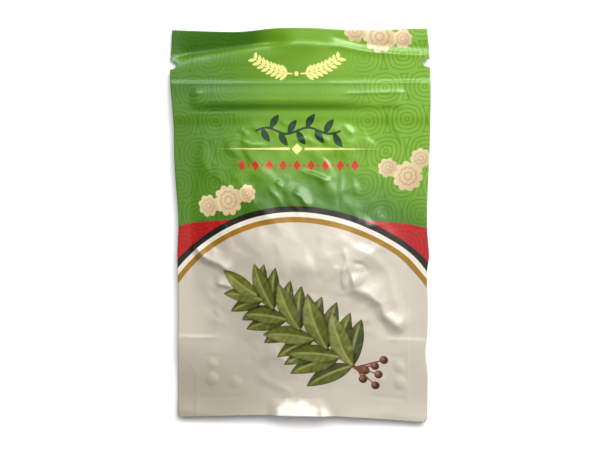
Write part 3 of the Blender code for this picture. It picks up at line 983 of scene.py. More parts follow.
def back_creases(form: PouchForm) -> tuple[Crease, ...]:
    """Lays the creases of the back, which lies on its surface.

    Args:
        form: The pouch's shape.

    Returns:
        The creases, whose heights point outwards.
    """
    zip_top = form.zip_top_y / MM
    track = form.track_y / MM
    fold = form.fold_y / MM
    return (
        Crease(((-55, 71.5), (0, 74.0), (55, 71.5)), 0.35, 1.6, 3.0, 0.4, 9),
        Crease(((-49, zip_top), (49, zip_top)), 0.28, 0.6, 1.6, 0.15, 6),
        Crease(((-47, track), (47, track)), 0.40, 1.2, 2.2, 0.25, 3),
        Crease(((-53, fold), (-30, fold)), 0.28, 0.7, 2.4, 0.2, 5),
        Crease(((30, fold), (53, fold)), 0.28, 0.7, 2.4, 0.2, 5),
        Crease(((-44, -8), (-37, -22), (-33, -36)), -0.9, 5, 4, 0.5, 7),
        Crease(((43, 6), (38, -8), (37, -22)), -0.8, 4, 5, 0.5, 7),
        Crease(((-20, 44), (-8, 38), (8, 40)), -0.6, 4, 4, 0.5, 6),
    )


@dataclass(frozen=True)
class LeafShape:
    """A pointed oval leaf on the flat film, in millimetres.

    Attributes:
        base: Where its stalk end lies.
        angle: Its direction, in degrees.
        length: From stalk end to tip.
        width: Across its widest place.
        bend: How far its midrib bows to the left, as a share of its length.
    """

    base: Point
    angle: float
    length: float
    width: float
    bend: float = 0.0

    def local(self, x: np.ndarray, y: np.ndarray) -> tuple[np.ndarray, np.ndarray]:
        """Gives each point's place along the leaf, from 0 to 1, and across it, in millimetres."""
        turn = math.radians(self.angle)
        dx = x - self.base[0]
        dy = y - self.base[1]
        along = (dx * math.cos(turn) + dy * math.sin(turn)) / self.length
        across = -dx * math.sin(turn) + dy * math.cos(turn)
        inside = np.clip(along, 0.0, 1.0)
        return along, across - 4 * self.bend * self.length * inside * (1 - inside)

    def distance(self, x: np.ndarray, y: np.ndarray) -> np.ndarray:
        """Gives the signed distance to the leaf's outline, negative inside.

        Args:
            x: Across the flat film, in millimetres.
            y: Up the flat film, in millimetres.

        Returns:
            The distance at each point, in millimetres.
        """
        along, across = self.local(x, y)
        inside = np.clip(along, 0.0, 1.0)
        half = self.width / 2 * np.sin(math.pi * inside**0.88) ** 0.85
        past = np.abs(along - inside) * self.length
        to_side = (np.abs(across) - half) / math.hypot(1, 1.6 * self.width / self.length)
        return np.where(past > 0, np.hypot(past, across), to_side)


class Ink(Enum):
    """The print's inks, and the colours of its painted shade and highlight, as linear colours."""

    GREEN = printed(130, 174, 66)
    GREEN_DEEP = printed(112, 156, 44)
    # A darker green, for the print's own gradient and for painted shade
    GREEN_GRADIENT_AND_PAINTED_SHADE = printed(82, 120, 36)
    GREEN_LINE = printed(60, 96, 24)
    RED = printed(184, 58, 44)
    RED_LINE = printed(158, 48, 38)
    BLACK = printed(62, 62, 58)
    WHITE = printed(226, 220, 206)
    GOLD = printed(160, 122, 52)
    FILM_WHITE = printed(209, 200, 185)
    FILM_SHADE = printed(195, 186, 171)
    # Painted shade for the pale field at the foot's left corner
    FILM_PAINTED_SHADE = printed(166, 158, 141)
    # Painted highlight: the glare on the foot's curled middle
    GLARE_WHITE = printed(244, 241, 232)
    CREAM = printed(224, 206, 164)
    CREAM_SHADE = printed(190, 160, 124)
    CREAM_LINE = printed(150, 112, 76)
    PALE_YELLOW = printed(240, 235, 150)
    VINE_GREEN = printed(52, 78, 44)
    LOZENGE_RED = printed(196, 70, 30)
    LEAF_DARK = printed(80, 84, 54)
    LEAF = printed(110, 116, 64)
    LEAF_LIGHT = printed(146, 151, 94)
    VEIN = printed(172, 174, 112)
    TWIG = printed(124, 84, 58)
    BERRY = printed(86, 62, 56)
    BERRY_SHINE = printed(160, 118, 98)

    @property
    def tone(self) -> np.ndarray:
        """The ink as an array, for blending."""
        return np.array(self.value)


class Artwork:
    """Paints motifs on the flat film, as one outline distance and one colour for each point."""

    FAR = 50.0
    FRINGE = 0.9

    def __init__(self, x: np.ndarray, y: np.ndarray) -> None:
        """Starts with bare film.

        Args:
            x: Across the flat film, in millimetres.
            y: Up the flat film, in millimetres.
        """
        self.x = x
        self.y = y
        self.edge = np.full(x.shape, self.FAR)
        self.colour = np.zeros((*x.shape, 3))

    def paint(self, distance: np.ndarray, colour: np.ndarray) -> None:
        """Lays a motif over what is there.

        Args:
            distance: The signed distance to its outline, negative inside, in millimetres.
            colour: Its colour, alike all over or for each point.
        """
        fringe = (distance < self.FRINGE) & (distance < self.edge)
        taken = (distance < 0) | fringe
        self.colour[taken] = np.broadcast_to(colour, self.colour.shape)[taken]
        self.edge = np.minimum(self.edge, distance)

    def stroke(self, points: Sequence[Point], start: float, end: float, ink: Ink) -> None:
        """Paints a line that changes in thickness from its start to its end.

        Args:
            points: The line's points.
            start: Half its thickness at the start.
            end: Half its thickness at the end.
            ink: Its colour.
        """
        total = sum(math.dist(a, b) for a, b in pairwise(points))
        passed = 0.0
        distance = np.full(self.x.shape, self.FAR)
        for (ax, ay), (bx, by) in pairwise(points):
            dx, dy = bx - ax, by - ay
            length = math.hypot(dx, dy)
            t = np.clip(((self.x - ax) * dx + (self.y - ay) * dy) / length**2, 0.0, 1.0)
            off = np.hypot(self.x - ax - t * dx, self.y - ay - t * dy)
            half = blend(start, end, (passed + t * length) / total)
            distance = np.minimum(distance, off - half)
            passed += length
        self.paint(distance, ink.tone)

    def plain_leaf(self, leaf: LeafShape, ink: Ink) -> None:
        """Paints a leaf in one ink."""
        self.paint(leaf.distance(self.x, self.y), ink.tone)

    def drawn_leaf(self, leaf: LeafShape, tone: float, grain: np.ndarray) -> None:
        """Paints a leaf with its midrib, side veins and a shaded half.

        Args:
            leaf: Its outline.
            tone: From 0 for a dark leaf to 1 for a light one.
            grain: Random mottling for each point, from -1 to 1.
        """
        along, across = leaf.local(self.x, self.y)
        distance = leaf.distance(self.x, self.y)
        shadow = ramp(1 - distance / 1.3)[..., None] * 0.55
        below = (self.edge < 0) & (distance > 0)
        self.colour[below] *= (1 - shadow)[below]
        dark, base, light = Ink.LEAF_DARK.tone, Ink.LEAF.tone, Ink.LEAF_LIGHT.tone
        lit = tone + 0.16 * np.sign(across) + 0.16 * grain + 0.20 * (along - 0.5)
        slant = (along * leaf.length - 0.75 * np.abs(across)) / 2.7
        ribs = ramp(1 - np.abs(slant - np.round(slant)) / 0.16) * ramp(np.abs(across) / 0.8)
        lit = np.clip(lit + 0.22 * ribs, 0.0, 1.0)[..., None]
        colour = np.where(lit < 0.5, blend(dark, base, lit * 2), blend(base, light, lit * 2 - 1))
        rim = ramp(1 + distance / 0.7)[..., None] * 0.35
        midrib = ramp(1.15 - np.abs(across) / 0.62)[..., None] * ramp((1.02 - along) / 0.3)[..., None]
        colour = blend(colour * (1 - rim), Ink.VEIN.tone, 0.75 * midrib)
        self.paint(distance, colour)

    def berry(self, centre: Point, radius: float) -> None:
        """Paints a round berry with a soft shine on its upper left."""
        off = np.hypot(self.x - centre[0], self.y - centre[1])
        shine = np.hypot(self.x - centre[0] + radius * 0.35, self.y - centre[1] - radius * 0.35)
        share = ramp(1 - shine / (radius * 0.9))[..., None]
        colour = blend(Ink.BERRY.tone, Ink.BERRY_SHINE.tone, share)
        self.paint(off - radius, colour)

    def rosette(self, centre: Point, radius: float, petals: int, turn: float) -> None:
        """Paints a cream rosette with scalloped petals and ring lines.

        Args:
            centre: Its middle.
            radius: Its mean radius.
            petals: How many petals it has.
            turn: How far it is turned, in radians.
        """
        dx = self.x - centre[0]
        dy = self.y - centre[1]
        off = np.hypot(dx, dy)
        scallop = np.abs(np.cos(petals / 2 * (np.arctan2(dy, dx) - turn)))
        rim = radius * (0.80 + 0.24 * scallop**0.6)
        shade = ramp(0.5 - 0.42 * (dy - dx) / radius)[..., None]
        colour = blend(Ink.CREAM.tone, Ink.CREAM_SHADE.tone, 0.55 * shade)
        line = Ink.CREAM_LINE.tone
        width = max(0.10 * radius, 0.42)
        for ring in (0.26, 0.58):
            on_ring = ramp(1 - np.abs(off - ring * rim) / width)[..., None]
            colour = blend(colour, line, 0.55 * on_ring)
        on_ray = ramp(1 - scallop * off * 2.2 / (petals / 8) / width) * ramp(off / rim * 4 - 2.2)
        colour = blend(colour, line, 0.5 * on_ray[..., None])
        self.paint(off - rim, colour)


@dataclass(frozen=True)
class PrintLayout:
    """The print's layout on the flat film, with its painted shade and highlight, in millimetres.

    Attributes:
        dome_top: How high the pale field's dome reaches.
        dome_foot: How high the dome meets the side edges.
        half_width: The film's half width.
        corner_y: How high the red corners reach.
        stripe_widths: The widths of the black, white and gold stripes.
        ring_spacing: The distance between the middles of the ring pattern.
        ring_line: The distance from one of its lines to the next.
        faint_share: How strong the ring pattern is in the middle of the film.
        faint_half: How far to each side of the middle it is that faint.
        faint_run: Over what distance it then gains its full strength.
    """

    dome_top: float = 9.5
    dome_foot: float = -14.5
    half_width: float = 55.0
    corner_y: float = 3.2
    stripe_widths: tuple[float, float, float] = (2.5, 2.0, 2.3)
    ring_spacing: float = 16.3
    ring_line: float = 1.85
    faint_share: float = 0.12
    faint_half: float = 14.0
    faint_run: float = 24.0

    def dome(self, x: np.ndarray, y: np.ndarray) -> np.ndarray:
        """Gives the distance to the dome's outer arc, negative inside it."""
        drop = self.dome_top - self.dome_foot
        radius = (self.half_width**2 + drop**2) / (2 * drop)
        return np.hypot(x, y - self.dome_top + radius) - radius

    def corners(self, x: np.ndarray, y: np.ndarray) -> np.ndarray:
        """Gives the distance to the red corners' upper edge, negative in the red."""
        return y - self.corner_y + 0.0032 * (x**2 - self.half_width**2 / 2) - 1.6 * np.cos(x / 9)

    def shade(self, x: np.ndarray, y: np.ndarray) -> np.ndarray:
        """Gives how far the green goes to its darker ink: the print's gradient to the dome, and painted
        shade at the left, the top left and by the closure.
        """
        # Darker green towards the dome: the print's own gradient
        to_dome = 0.95 * ramp(1 - self.dome(x, y) / 30)
        # Painted shade: darker green at the left, in the top left band and by the closure's track, where the
        # film faces away from the light
        left_side = 0.12 * ramp((25 - x) / 20) + 0.62 * ramp((8 - x) / 58)
        top_left = 0.60 * ramp((y - 72.5 - 0.10 * (x + 55)) / 2.0) * ramp((-8 - x) / 12)
        on_zip = 0.22 * np.exp(-(((y - 59.5) / 4.5) ** 2)) * ramp((42 - x) / 20)
        under_zip = 0.55 * np.exp(-(((y - 51.2) / 1.7) ** 2)) * ramp((46 - np.abs(x + 8)) / 26)
        return np.clip(np.maximum(to_dome, left_side) + top_left + on_zip + under_zip, 0.0, 1.0)

    def painted_corner_shade(self, x: np.ndarray, y: np.ndarray) -> np.ndarray:
        """Gives how much painted shade darkens the pale field towards the foot's left corner."""
        return (0.04 + 0.60 * ramp((8 - x) / 50)) * ramp((-44 - y) / 26)

    def painted_foot_glare(self, x: np.ndarray, y: np.ndarray) -> np.ndarray:
        """Gives the painted highlight on the middle of the foot, the glare of its curled edge, with a wavy
        upper edge.
        """
        top = -75.4 - 0.022 * (x + 2) ** 2 + 0.6 * np.sin(0.9 * x) + 0.2 * np.sin(2.1 * x + 1)
        half = 10.8 - 0.28 * (y + 83.4) + 0.4 * np.sin(1.7 * y)
        return 0.9 * ramp((top - y) / 3.0) * ramp((half - np.abs(x + 0.8)) / 2.4)

    def rings(self, x: np.ndarray, y: np.ndarray) -> np.ndarray:
        """Gives the distance to the nearest middle of the ring pattern, on a staggered grid."""
        x, y = x + 0.7 * np.sin(y / 9), y + 0.7 * np.sin(x / 11)
        nearest = np.full(x.shape, Artwork.FAR)
        row_step = self.ring_spacing * 0.82
        for row in range(-2, 10):
            shift = self.ring_spacing / 2 * (row % 2)
            for column in range(-5, 6):
                centre_x = column * self.ring_spacing + shift - 4
                centre_y = row * row_step - 8
                dx = np.abs(x - centre_x)
                dy = np.abs(y - centre_y)
                rounded = 0.72 * np.hypot(dx, dy) + 0.28 * np.maximum(dx, dy) * 1.2
                nearest = np.minimum(nearest, rounded)
        return nearest

    def ring_strength(self, x: np.ndarray) -> np.ndarray:
        """Gives how strong the ring pattern is: faint behind the motifs, full at the sides."""
        return blend(self.faint_share, 1.0, ramp((np.abs(x) - self.faint_half) / self.faint_run))


def paint_sprig(art: Artwork, seed: int = 21) -> None:
    """Paints a bay sprig with berries in the pale field.

    Args:
        art: The artwork, which this adds to.
        seed: The random draw's seed.
    """
    draw = random.Random(seed)
    grain = np.zeros(art.x.shape)
    for length in (9.0, 6.1, 4.3, 3.1):
        turn = draw.uniform(0, math.pi)
        phase = draw.uniform(0, 6)
        wave = 2 * math.pi / length
        grain += 0.3 * np.sin(wave * (art.x * math.cos(turn) + art.y * math.sin(turn)) + phase)
    root, knee, tip = (27.5, -62.5), (6.0, -47.0), (-19.0, -27.5)

    def stem(t: float) -> Point:
        """Gives a point of the stem, from 0 at its root to 1 at its tip."""
        u = 1 - t
        return tuple(u * u * a + 2 * u * t * b + t * t * c for a, b, c in zip(root, knee, tip))

    def heading(t: float) -> float:
        """Gives the stem's direction at a place, in degrees."""
        (ax, ay), (bx, by) = stem(t - 0.01), stem(t + 0.01)
        return math.degrees(math.atan2(by - ay, bx - ax))

    path = [stem(i / 12) for i in range(13)]
    nodes = [0.10, 0.22, 0.34, 0.46, 0.58, 0.70, 0.82, 0.92]
    for i, t in enumerate(nodes):
        for side in (-1, 1):
            spread = draw.uniform(60, 74) - 16 * t
            length = draw.uniform(21, 25) * (1 - 0.30 * t)
            leaf = LeafShape(stem(t), heading(t) + side * spread, length, length * 0.37, -0.05 * side)
            art.drawn_leaf(leaf, draw.uniform(0.12, 0.34), grain)
    art.stroke(path, 0.85, 0.45, Ink.TWIG)
    for i, t in enumerate(nodes):
        side = 1 if i % 2 else -1
        spread = draw.uniform(30, 42) - 6 * t
        length = draw.uniform(24, 28) * (1 - 0.28 * t)
        leaf = LeafShape(stem(t), heading(t) + side * spread, length, length * 0.36, -0.05 * side)
        art.drawn_leaf(leaf, draw.uniform(0.40, 0.72), grain)
    art.drawn_leaf(LeafShape(stem(0.97), heading(0.97) + 4, 19, 7.2, 0.03), 0.66, grain)
    for turn, reach in ((-150, 5.4), (-112, 7.6), (-172, 8.8), (-130, 10.6), (-92, 11.4), (-152, 13.4)):
        centre_x = 25.5 + reach * math.cos(math.radians(turn + 95))
        centre_y = -57.0 + reach * math.sin(math.radians(turn + 95))
        art.stroke(((24.5, -60.0), (centre_x, centre_y)), 0.35, 0.3, Ink.TWIG)
        art.berry((centre_x, centre_y), 1.85)


def paint_upper_field(art: Artwork) -> None:
    """Paints the small motifs on the green field.

    Args:
        art: The artwork, which this adds to.
    """
    # A pale garland near the top: two sprays that meet at a dot
    for side in (-1, 1):
        arc = [(side * (2 + 15.5 * t), 65.0 + 6.0 * t * t) for t in np.linspace(0, 1, 9)]
        art.stroke(arc, 0.34, 0.22, Ink.PALE_YELLOW)
        for i, (x, y) in enumerate(arc[1:]):
            for up in (-1, 1):
                heading = (8 + 5 * i) + up * 48
                angle = heading if side > 0 else 180 - heading
                art.plain_leaf(LeafShape((x, y), angle, 4.4 - 0.15 * i, 1.5), Ink.PALE_YELLOW)
    art.paint(np.hypot(art.x, art.y - 65.0) - 0.95, Ink.PALE_YELLOW.tone)
    # A dark vine in the middle, whose stem waves between its leaves
    vine = [(x, 41.0 + 1.3 * math.sin(x / 2.9)) for x in np.linspace(-18, 18, 37)]
    art.stroke(vine, 0.45, 0.45, Ink.VINE_GREEN)
    for i, x in enumerate(np.linspace(-15.5, 15.5, 9)):
        up = 1 if i % 2 else -1
        base = (float(x), 41.0 + 1.3 * math.sin(x / 2.9))
        art.plain_leaf(LeafShape(base, up * 58, 7.0, 3.0, 0.05 * up), Ink.VINE_GREEN)
    # A thin divider that tapers away from a lozenge
    for side in (-1, 1):
        art.stroke(((side * 3.6, 33.4), (side * 36, 33.4)), 0.52, 0.08, Ink.PALE_YELLOW)
    lozenge = 0.72 * (np.abs(art.x) + np.abs(art.y - 33.4)) - 1.7
    art.paint(lozenge, Ink.PALE_YELLOW.tone)
    # A row of red lozenges and dots
    for i in range(-8, 9):
        across = np.abs(art.x - i * 3.05)
        up = np.abs(art.y - 26.4)
        shape = 0.78 * (across + up * 0.72) - 1.35 if i % 2 == 0 else np.hypot(across, up) - 0.62
        art.paint(shape, Ink.LOZENGE_RED.tone)
    # Cream rosettes: at the right of the top seal, at the right side and at the left over the arc
    groups = (
        ((35.0, 80.5, 6.6, 10), (25.0, 83.0, 4.6, 8), (44.5, 79.5, 4.0, 8)),
        ((46.5, 22.0, 6.2, 10), (38.0, 25.5, 4.0, 8), (51.5, 29.5, 4.2, 8)),
        ((-31.0, 11.5, 6.4, 10), (-40.5, 9.0, 4.6, 8), (-22.0, 14.5, 3.8, 8)),
    )
    for group in groups:
        for x, y, radius, petals in group:
            art.rosette((x, y), radius, petals, 0.2 * x)


class Shader:
    """Builds one node material, from the shader back to its inputs."""

    def __init__(self, name: str) -> None:
        """Makes an empty material with a Principled shader.

        Args:
            name: The material's name.
        """
        self.material = bpy.data.materials.new(name)
        self.material.use_nodes = True
        self.tree = self.material.node_tree
        self.shader = self.tree.nodes["Principled BSDF"]

    def node(self, kind: str, **settings: object) -> bpy.types.Node:
        """Adds a node and sets its properties."""
        made = self.tree.nodes.new(kind)
        for key, value in settings.items():
            setattr(made, key, value)
        return made

    def feed(self, socket: bpy.types.NodeSocket, value: object) -> None:
        """Links a socket to another one, or sets it to a plain value."""
        if isinstance(value, bpy.types.NodeSocket):
            self.tree.links.new(value, socket)
        elif isinstance(value, tuple) and len(value) == 3 and socket.type == "RGBA":
            socket.default_value = (*value, 1.0)
        else:
            socket.default_value = value

    def set(self, **inputs: object) -> None:
        """Sets or links the shader's inputs, whose spaces are written as underscores."""
        for name, value in inputs.items():
            self.feed(self.shader.inputs[name.replace("_", " ")], value)

    def math(self, operation: str, a: object, b: object = 0.0, clamp: bool = False) -> bpy.types.NodeSocket:
        """Adds a Math node."""
        made = self.node("ShaderNodeMath", operation=operation, use_clamp=clamp)
        self.feed(made.inputs[0], a)
        self.feed(made.inputs[1], b)
        return made.outputs[0]

    def mix(self, share: object, a: object, b: object) -> bpy.types.NodeSocket:
        """Adds a colour Mix node."""
        made = self.node("ShaderNodeMix", data_type="RGBA")
        self.feed(made.inputs[0], share)
        self.feed(made.inputs[6], a)
        self.feed(made.inputs[7], b)
        return made.outputs[2]

    def span(self, value: object, low: float, high: float, start: float, end: float) -> bpy.types.NodeSocket:
        """Maps a value from low..high to start..end, clamped."""
        made = self.node("ShaderNodeMapRange", interpolation_type="SMOOTHSTEP")
        for socket, given in zip(made.inputs, (value, low, high, start, end)):
            self.feed(socket, given)
        return made.outputs[0]

    def below(self, value: object, edge: float, softness: float = 0.10) -> bpy.types.NodeSocket:
        """Gives 1 where a value is below an edge and 0 above it."""
        return self.span(value, edge - softness, edge + softness, 1.0, 0.0)

    def attribute(self, name: str, output: str = "Fac") -> bpy.types.NodeSocket:
        """Reads a mesh attribute."""
        return self.node("ShaderNodeAttribute", attribute_name=name).outputs[output]

    def noise(
        self, scale: float, detail: float = 3.0, stretch: Sequence[float] = (1, 1, 1)
    ) -> bpy.types.NodeSocket:
        """Adds noise over the object's own coordinates, stretched by a factor along each axis."""
        place = self.node("ShaderNodeTexCoord").outputs["Object"]
        mapping = self.node("ShaderNodeMapping")
        self.feed(mapping.inputs["Vector"], place)
        self.feed(mapping.inputs["Scale"], tuple(stretch))
        made = self.node("ShaderNodeTexNoise")
        self.feed(made.inputs["Vector"], mapping.outputs[0])
        self.feed(made.inputs["Scale"], scale)
        self.feed(made.inputs["Detail"], detail)
        return made.outputs["Fac"]

    def bump(self, height: bpy.types.NodeSocket, distance: float, strength: float = 1.0) -> None:
        """Adds a bump to the shader's normal."""
        made = self.node("ShaderNodeBump")
        self.feed(made.inputs["Height"], height)
        self.feed(made.inputs["Distance"], distance)
        self.feed(made.inputs["Strength"], strength)
        self.feed(self.shader.inputs["Normal"], made.outputs[0])


@dataclass(frozen=True)
class PrintedFilm:
    """Glossy printed film: inks over a metal-lined sheet, whose metal shows a little where it is bare."""

    layout: PrintLayout = field(default_factory=PrintLayout)
    roughness: float = 0.31
    coat: float = 0.18
    coat_roughness: float = 0.12
    metal_under_ink: float = 0.05
    metal_when_bare: float = 0.12
    line_share: float = 0.40

    def material(self, name: str) -> bpy.types.Material:
        """Builds the material.

        Args:
            name: The material's name.

        Returns:
            The material, which reads the sheet's print attributes and those of its painted shade and
            highlight.
        """
        made = Shader(name)
        dome = made.attribute("dome")
        phase = made.math("FRACT", made.math("DIVIDE", made.attribute("rings"), self.layout.ring_line))
        off_line = made.math("ABSOLUTE", made.math("SUBTRACT", phase, 0.5))
        line = made.span(off_line, 0.05, 0.22, 1.0, 0.0)
        line = made.math("MULTIPLY", line, made.attribute("ring_strength"))
        mottle = made.noise(90.0, 4.0)
        green_share = made.span(mottle, 0.2, 0.8, 0.0, 0.5)
        green = made.mix(green_share, Ink.GREEN.value, Ink.GREEN_DEEP.value)
        # The print's darker green towards the dome, with painted shade at the left, the top left and by the
        # closure
        green = made.mix(made.attribute("shade"), green, Ink.GREEN_GRADIENT_AND_PAINTED_SHADE.value)
        green = made.mix(made.math("MULTIPLY", line, self.line_share), green, Ink.GREEN_LINE.value)
        red = made.mix(line, Ink.RED.value, Ink.RED_LINE.value)
        colour = made.mix(made.below(made.attribute("corners"), 0.0), green, red)
        edge = 0.0
        stripes = ((Ink.BLACK, 0), (Ink.WHITE, 1), (Ink.GOLD, 2))
        for ink, number in stripes:
            colour = made.mix(made.below(dome, edge), colour, ink.value)
            edge -= self.layout.stripe_widths[number]
        pale = made.mix(made.span(mottle, 0.2, 0.8, 0.0, 0.6), Ink.FILM_WHITE.value, Ink.FILM_SHADE.value)
        # Painted shade: the pale field darker towards the foot's left corner
        pale = made.mix(made.attribute("painted_corner_shade"), pale, Ink.FILM_PAINTED_SHADE.value)
        # Painted highlight: the glare on the curled middle of the foot
        pale = made.mix(made.attribute("painted_foot_glare"), pale, Ink.GLARE_WHITE.value)
        in_pale = made.below(dome, edge)
        colour = made.mix(in_pale, colour, pale)
        in_art = made.below(made.attribute("art_edge"), 0.0)
        colour = made.mix(in_art, colour, made.attribute("art_colour", "Color"))
        bare = made.math("SUBTRACT", in_pale, in_art, clamp=True)
        metal = made.span(bare, 0.0, 1.0, self.metal_under_ink, self.metal_when_bare)
        rough = made.span(made.noise(60.0, 2.0), 0.15, 0.85, self.roughness - 0.02, self.roughness + 0.06)
        made.set(Base_Color=colour, Metallic=metal, Roughness=rough)
        made.set(Coat_Weight=self.coat, Coat_Roughness=self.coat_roughness)
        made.bump(made.noise(1400.0, 2.0), 0.00002, 0.5)
        return made.material


@dataclass(frozen=True)
class MetalLining:
    """The film's inside and cut edge: dull aluminium under a clear plastic skin."""

    colour: Colour = linear(196, 194, 190)

    def material(self) -> bpy.types.Material:
        """Builds the material."""
        made = Shader("metal_lining")
        streaks = made.noise(300.0, 3.0, (1, 6, 1))
        colour = made.mix(made.span(streaks, 0.35, 0.65, 0.0, 1.0), self.colour, linear(170, 168, 164))
        made.set(Base_Color=colour, Metallic=0.75, Roughness=made.span(streaks, 0.3, 0.7, 0.28, 0.42))
        made.bump(streaks, 0.00003, 0.4)
        return made.material


@dataclass(frozen=True)
class PlainFilm:
    """Off-white film without print, as on the gusset."""

    colour: Colour = Ink.FILM_WHITE.value

    def material(self) -> bpy.types.Material:
        """Builds the material."""
        made = Shader("gusset_film")
        cloudy = made.noise(80.0, 4.0)
        colour = made.mix(made.span(cloudy, 0.35, 0.65, 0.0, 1.0), self.colour, Ink.FILM_SHADE.value)
        made.set(Base_Color=colour, Metallic=0.2, Roughness=made.span(cloudy, 0.3, 0.7, 0.26, 0.36))
        made.bump(made.noise(900.0, 2.0), 0.00003, 0.5)
        return made.material


@dataclass(frozen=True)
class ZipPlastic:
    """Milky polyethylene of the closure's tapes and track."""

    colour: Colour = linear(226, 230, 228)

    def material(self) -> bpy.types.Material:
        """Builds the material."""
        made = Shader("zip_plastic")
        drawn = made.noise(250.0, 3.0, (0.15, 1, 1))
        colour = made.mix(made.span(drawn, 0.3, 0.7, 0.0, 0.5), self.colour, linear(204, 210, 208))
        made.set(Base_Color=colour, Roughness=made.span(drawn, 0.3, 0.7, 0.28, 0.42), Subsurface_Weight=0.15)
        made.bump(drawn, 0.00005, 0.4)
        return made.material


@dataclass(frozen=True)
class DriedLeaf:
    """Dried bay leaf: olive, mottled, with paler ribs and a leathery surface."""

    green: Colour = linear(112, 118, 62)
    brown: Colour = linear(128, 106, 58)
    rib: Colour = linear(170, 166, 104)

    def material(self) -> bpy.types.Material:
        """Builds the material, which reads the leaf's rib attribute."""
        made = Shader("dried_leaf")
        mottle = made.noise(70.0, 6.0)
        colour = made.mix(made.span(mottle, 0.40, 0.62, 0.0, 0.75), self.green, self.brown)
        colour = made.mix(made.attribute("ribs"), colour, self.rib)
        made.set(Base_Color=colour, Roughness=made.span(mottle, 0.3, 0.7, 0.48, 0.66))
        made.bump(made.noise(600.0, 6.0), 0.0001, 0.5)
        return made.material


@dataclass(frozen=True)
class PaleFloor:
    """Plain pale studio floor."""

    colour: Colour = (0.93, 0.93, 0.92)

    def material(self) -> bpy.types.Material:
        """Builds the material."""
        made = Shader("pale_floor")
        soft = made.noise(3.0, 2.0)
        colour = made.mix(made.span(soft, 0.3, 0.7, 0.0, 1.0), self.colour, (0.915, 0.915, 0.905))
        made.set(Base_Color=colour, Roughness=0.8)
        return made.material


def link_mesh(
    name: str, points: np.ndarray, faces: Iterable[Sequence[int]], middle: Point
) -> bpy.types.Object:
    """Makes an object from points and faces, with its faces turned outwards.

    Args:
        name: The object's name.
        points: Its vertices, one in each row, from the film's middle.
        faces: Its faces, as lists of vertex numbers.
        middle: Where the film's middle lies.

    Returns:
        The linked object.
    """
    mesh = bpy.data.meshes.new(name)
    mesh.from_pydata((points + (*middle, 0)).tolist(), [], [list(f) for f in faces])
    work = bmesh.new()
    work.from_mesh(mesh)
    bmesh.ops.recalc_face_normals(work, faces=work.faces[:])
    work.to_mesh(mesh)
    work.free()
    mesh.shade_smooth()
    made = bpy.data.objects.new(name, mesh)
    bpy.context.scene.collection.objects.link(made)
    return made


def write_attribute(mesh: bpy.types.Mesh, name: str, values: np.ndarray) -> None:
    """Stores one number for each vertex, or a colour where there are three.

    Args:
        mesh: The mesh.
        name: The attribute's name.
        values: A number or a colour for each of the first vertices; the rest keep 0.
    """
    count = len(mesh.vertices)
    if values.ndim == 2:
        padded = np.zeros((count, 4), np.float32)
        padded[: len(values), :3] = values
        padded[:, 3] = 1.0
        mesh.attributes.new(name, "FLOAT_COLOR", "POINT").data.foreach_set("color", padded.ravel())
        return
    padded = np.zeros(count, np.float32)
    padded[: len(values)] = values
    mesh.attributes.new(name, "FLOAT", "POINT").data.foreach_set("value", padded)


def block_least(values: np.ndarray, stride: int) -> np.ndarray:
    """Finds the least value round every stride-th point of a grid.

    Args:
        values: The fine grid.
        stride: The coarse grid's step.

    Returns:
        The coarse grid.
    """
    padded = np.pad(values, stride, mode="edge")
    windows = np.lib.stride_tricks.sliding_window_view(padded, (2 * stride + 1, 2 * stride + 1))
    return np.min(windows[::stride, ::stride], axis=(2, 3))


def spread(coarse: np.ndarray, stride: int) -> np.ndarray:
    """Interpolates a coarse grid linearly over the fine one.

    Args:
        coarse: The coarse grid.
        stride: How many fine steps make a coarse one.

    Returns:
        The fine grid.
    """
    rows = np.arange(0, (coarse.shape[0] - 1) * stride + 1) / stride
    columns = np.arange(0, (coarse.shape[1] - 1) * stride + 1) / stride
    low_row = np.minimum(rows.astype(int), coarse.shape[0] - 2)
    low_column = np.minimum(columns.astype(int), coarse.shape[1] - 2)
    up = (rows - low_row)[:, None]
    across = (columns - low_column)[None, :]
    tall = blend(coarse[low_row], coarse[low_row + 1], up)
    return blend(tall[:, low_column], tall[:, low_column + 1], across)


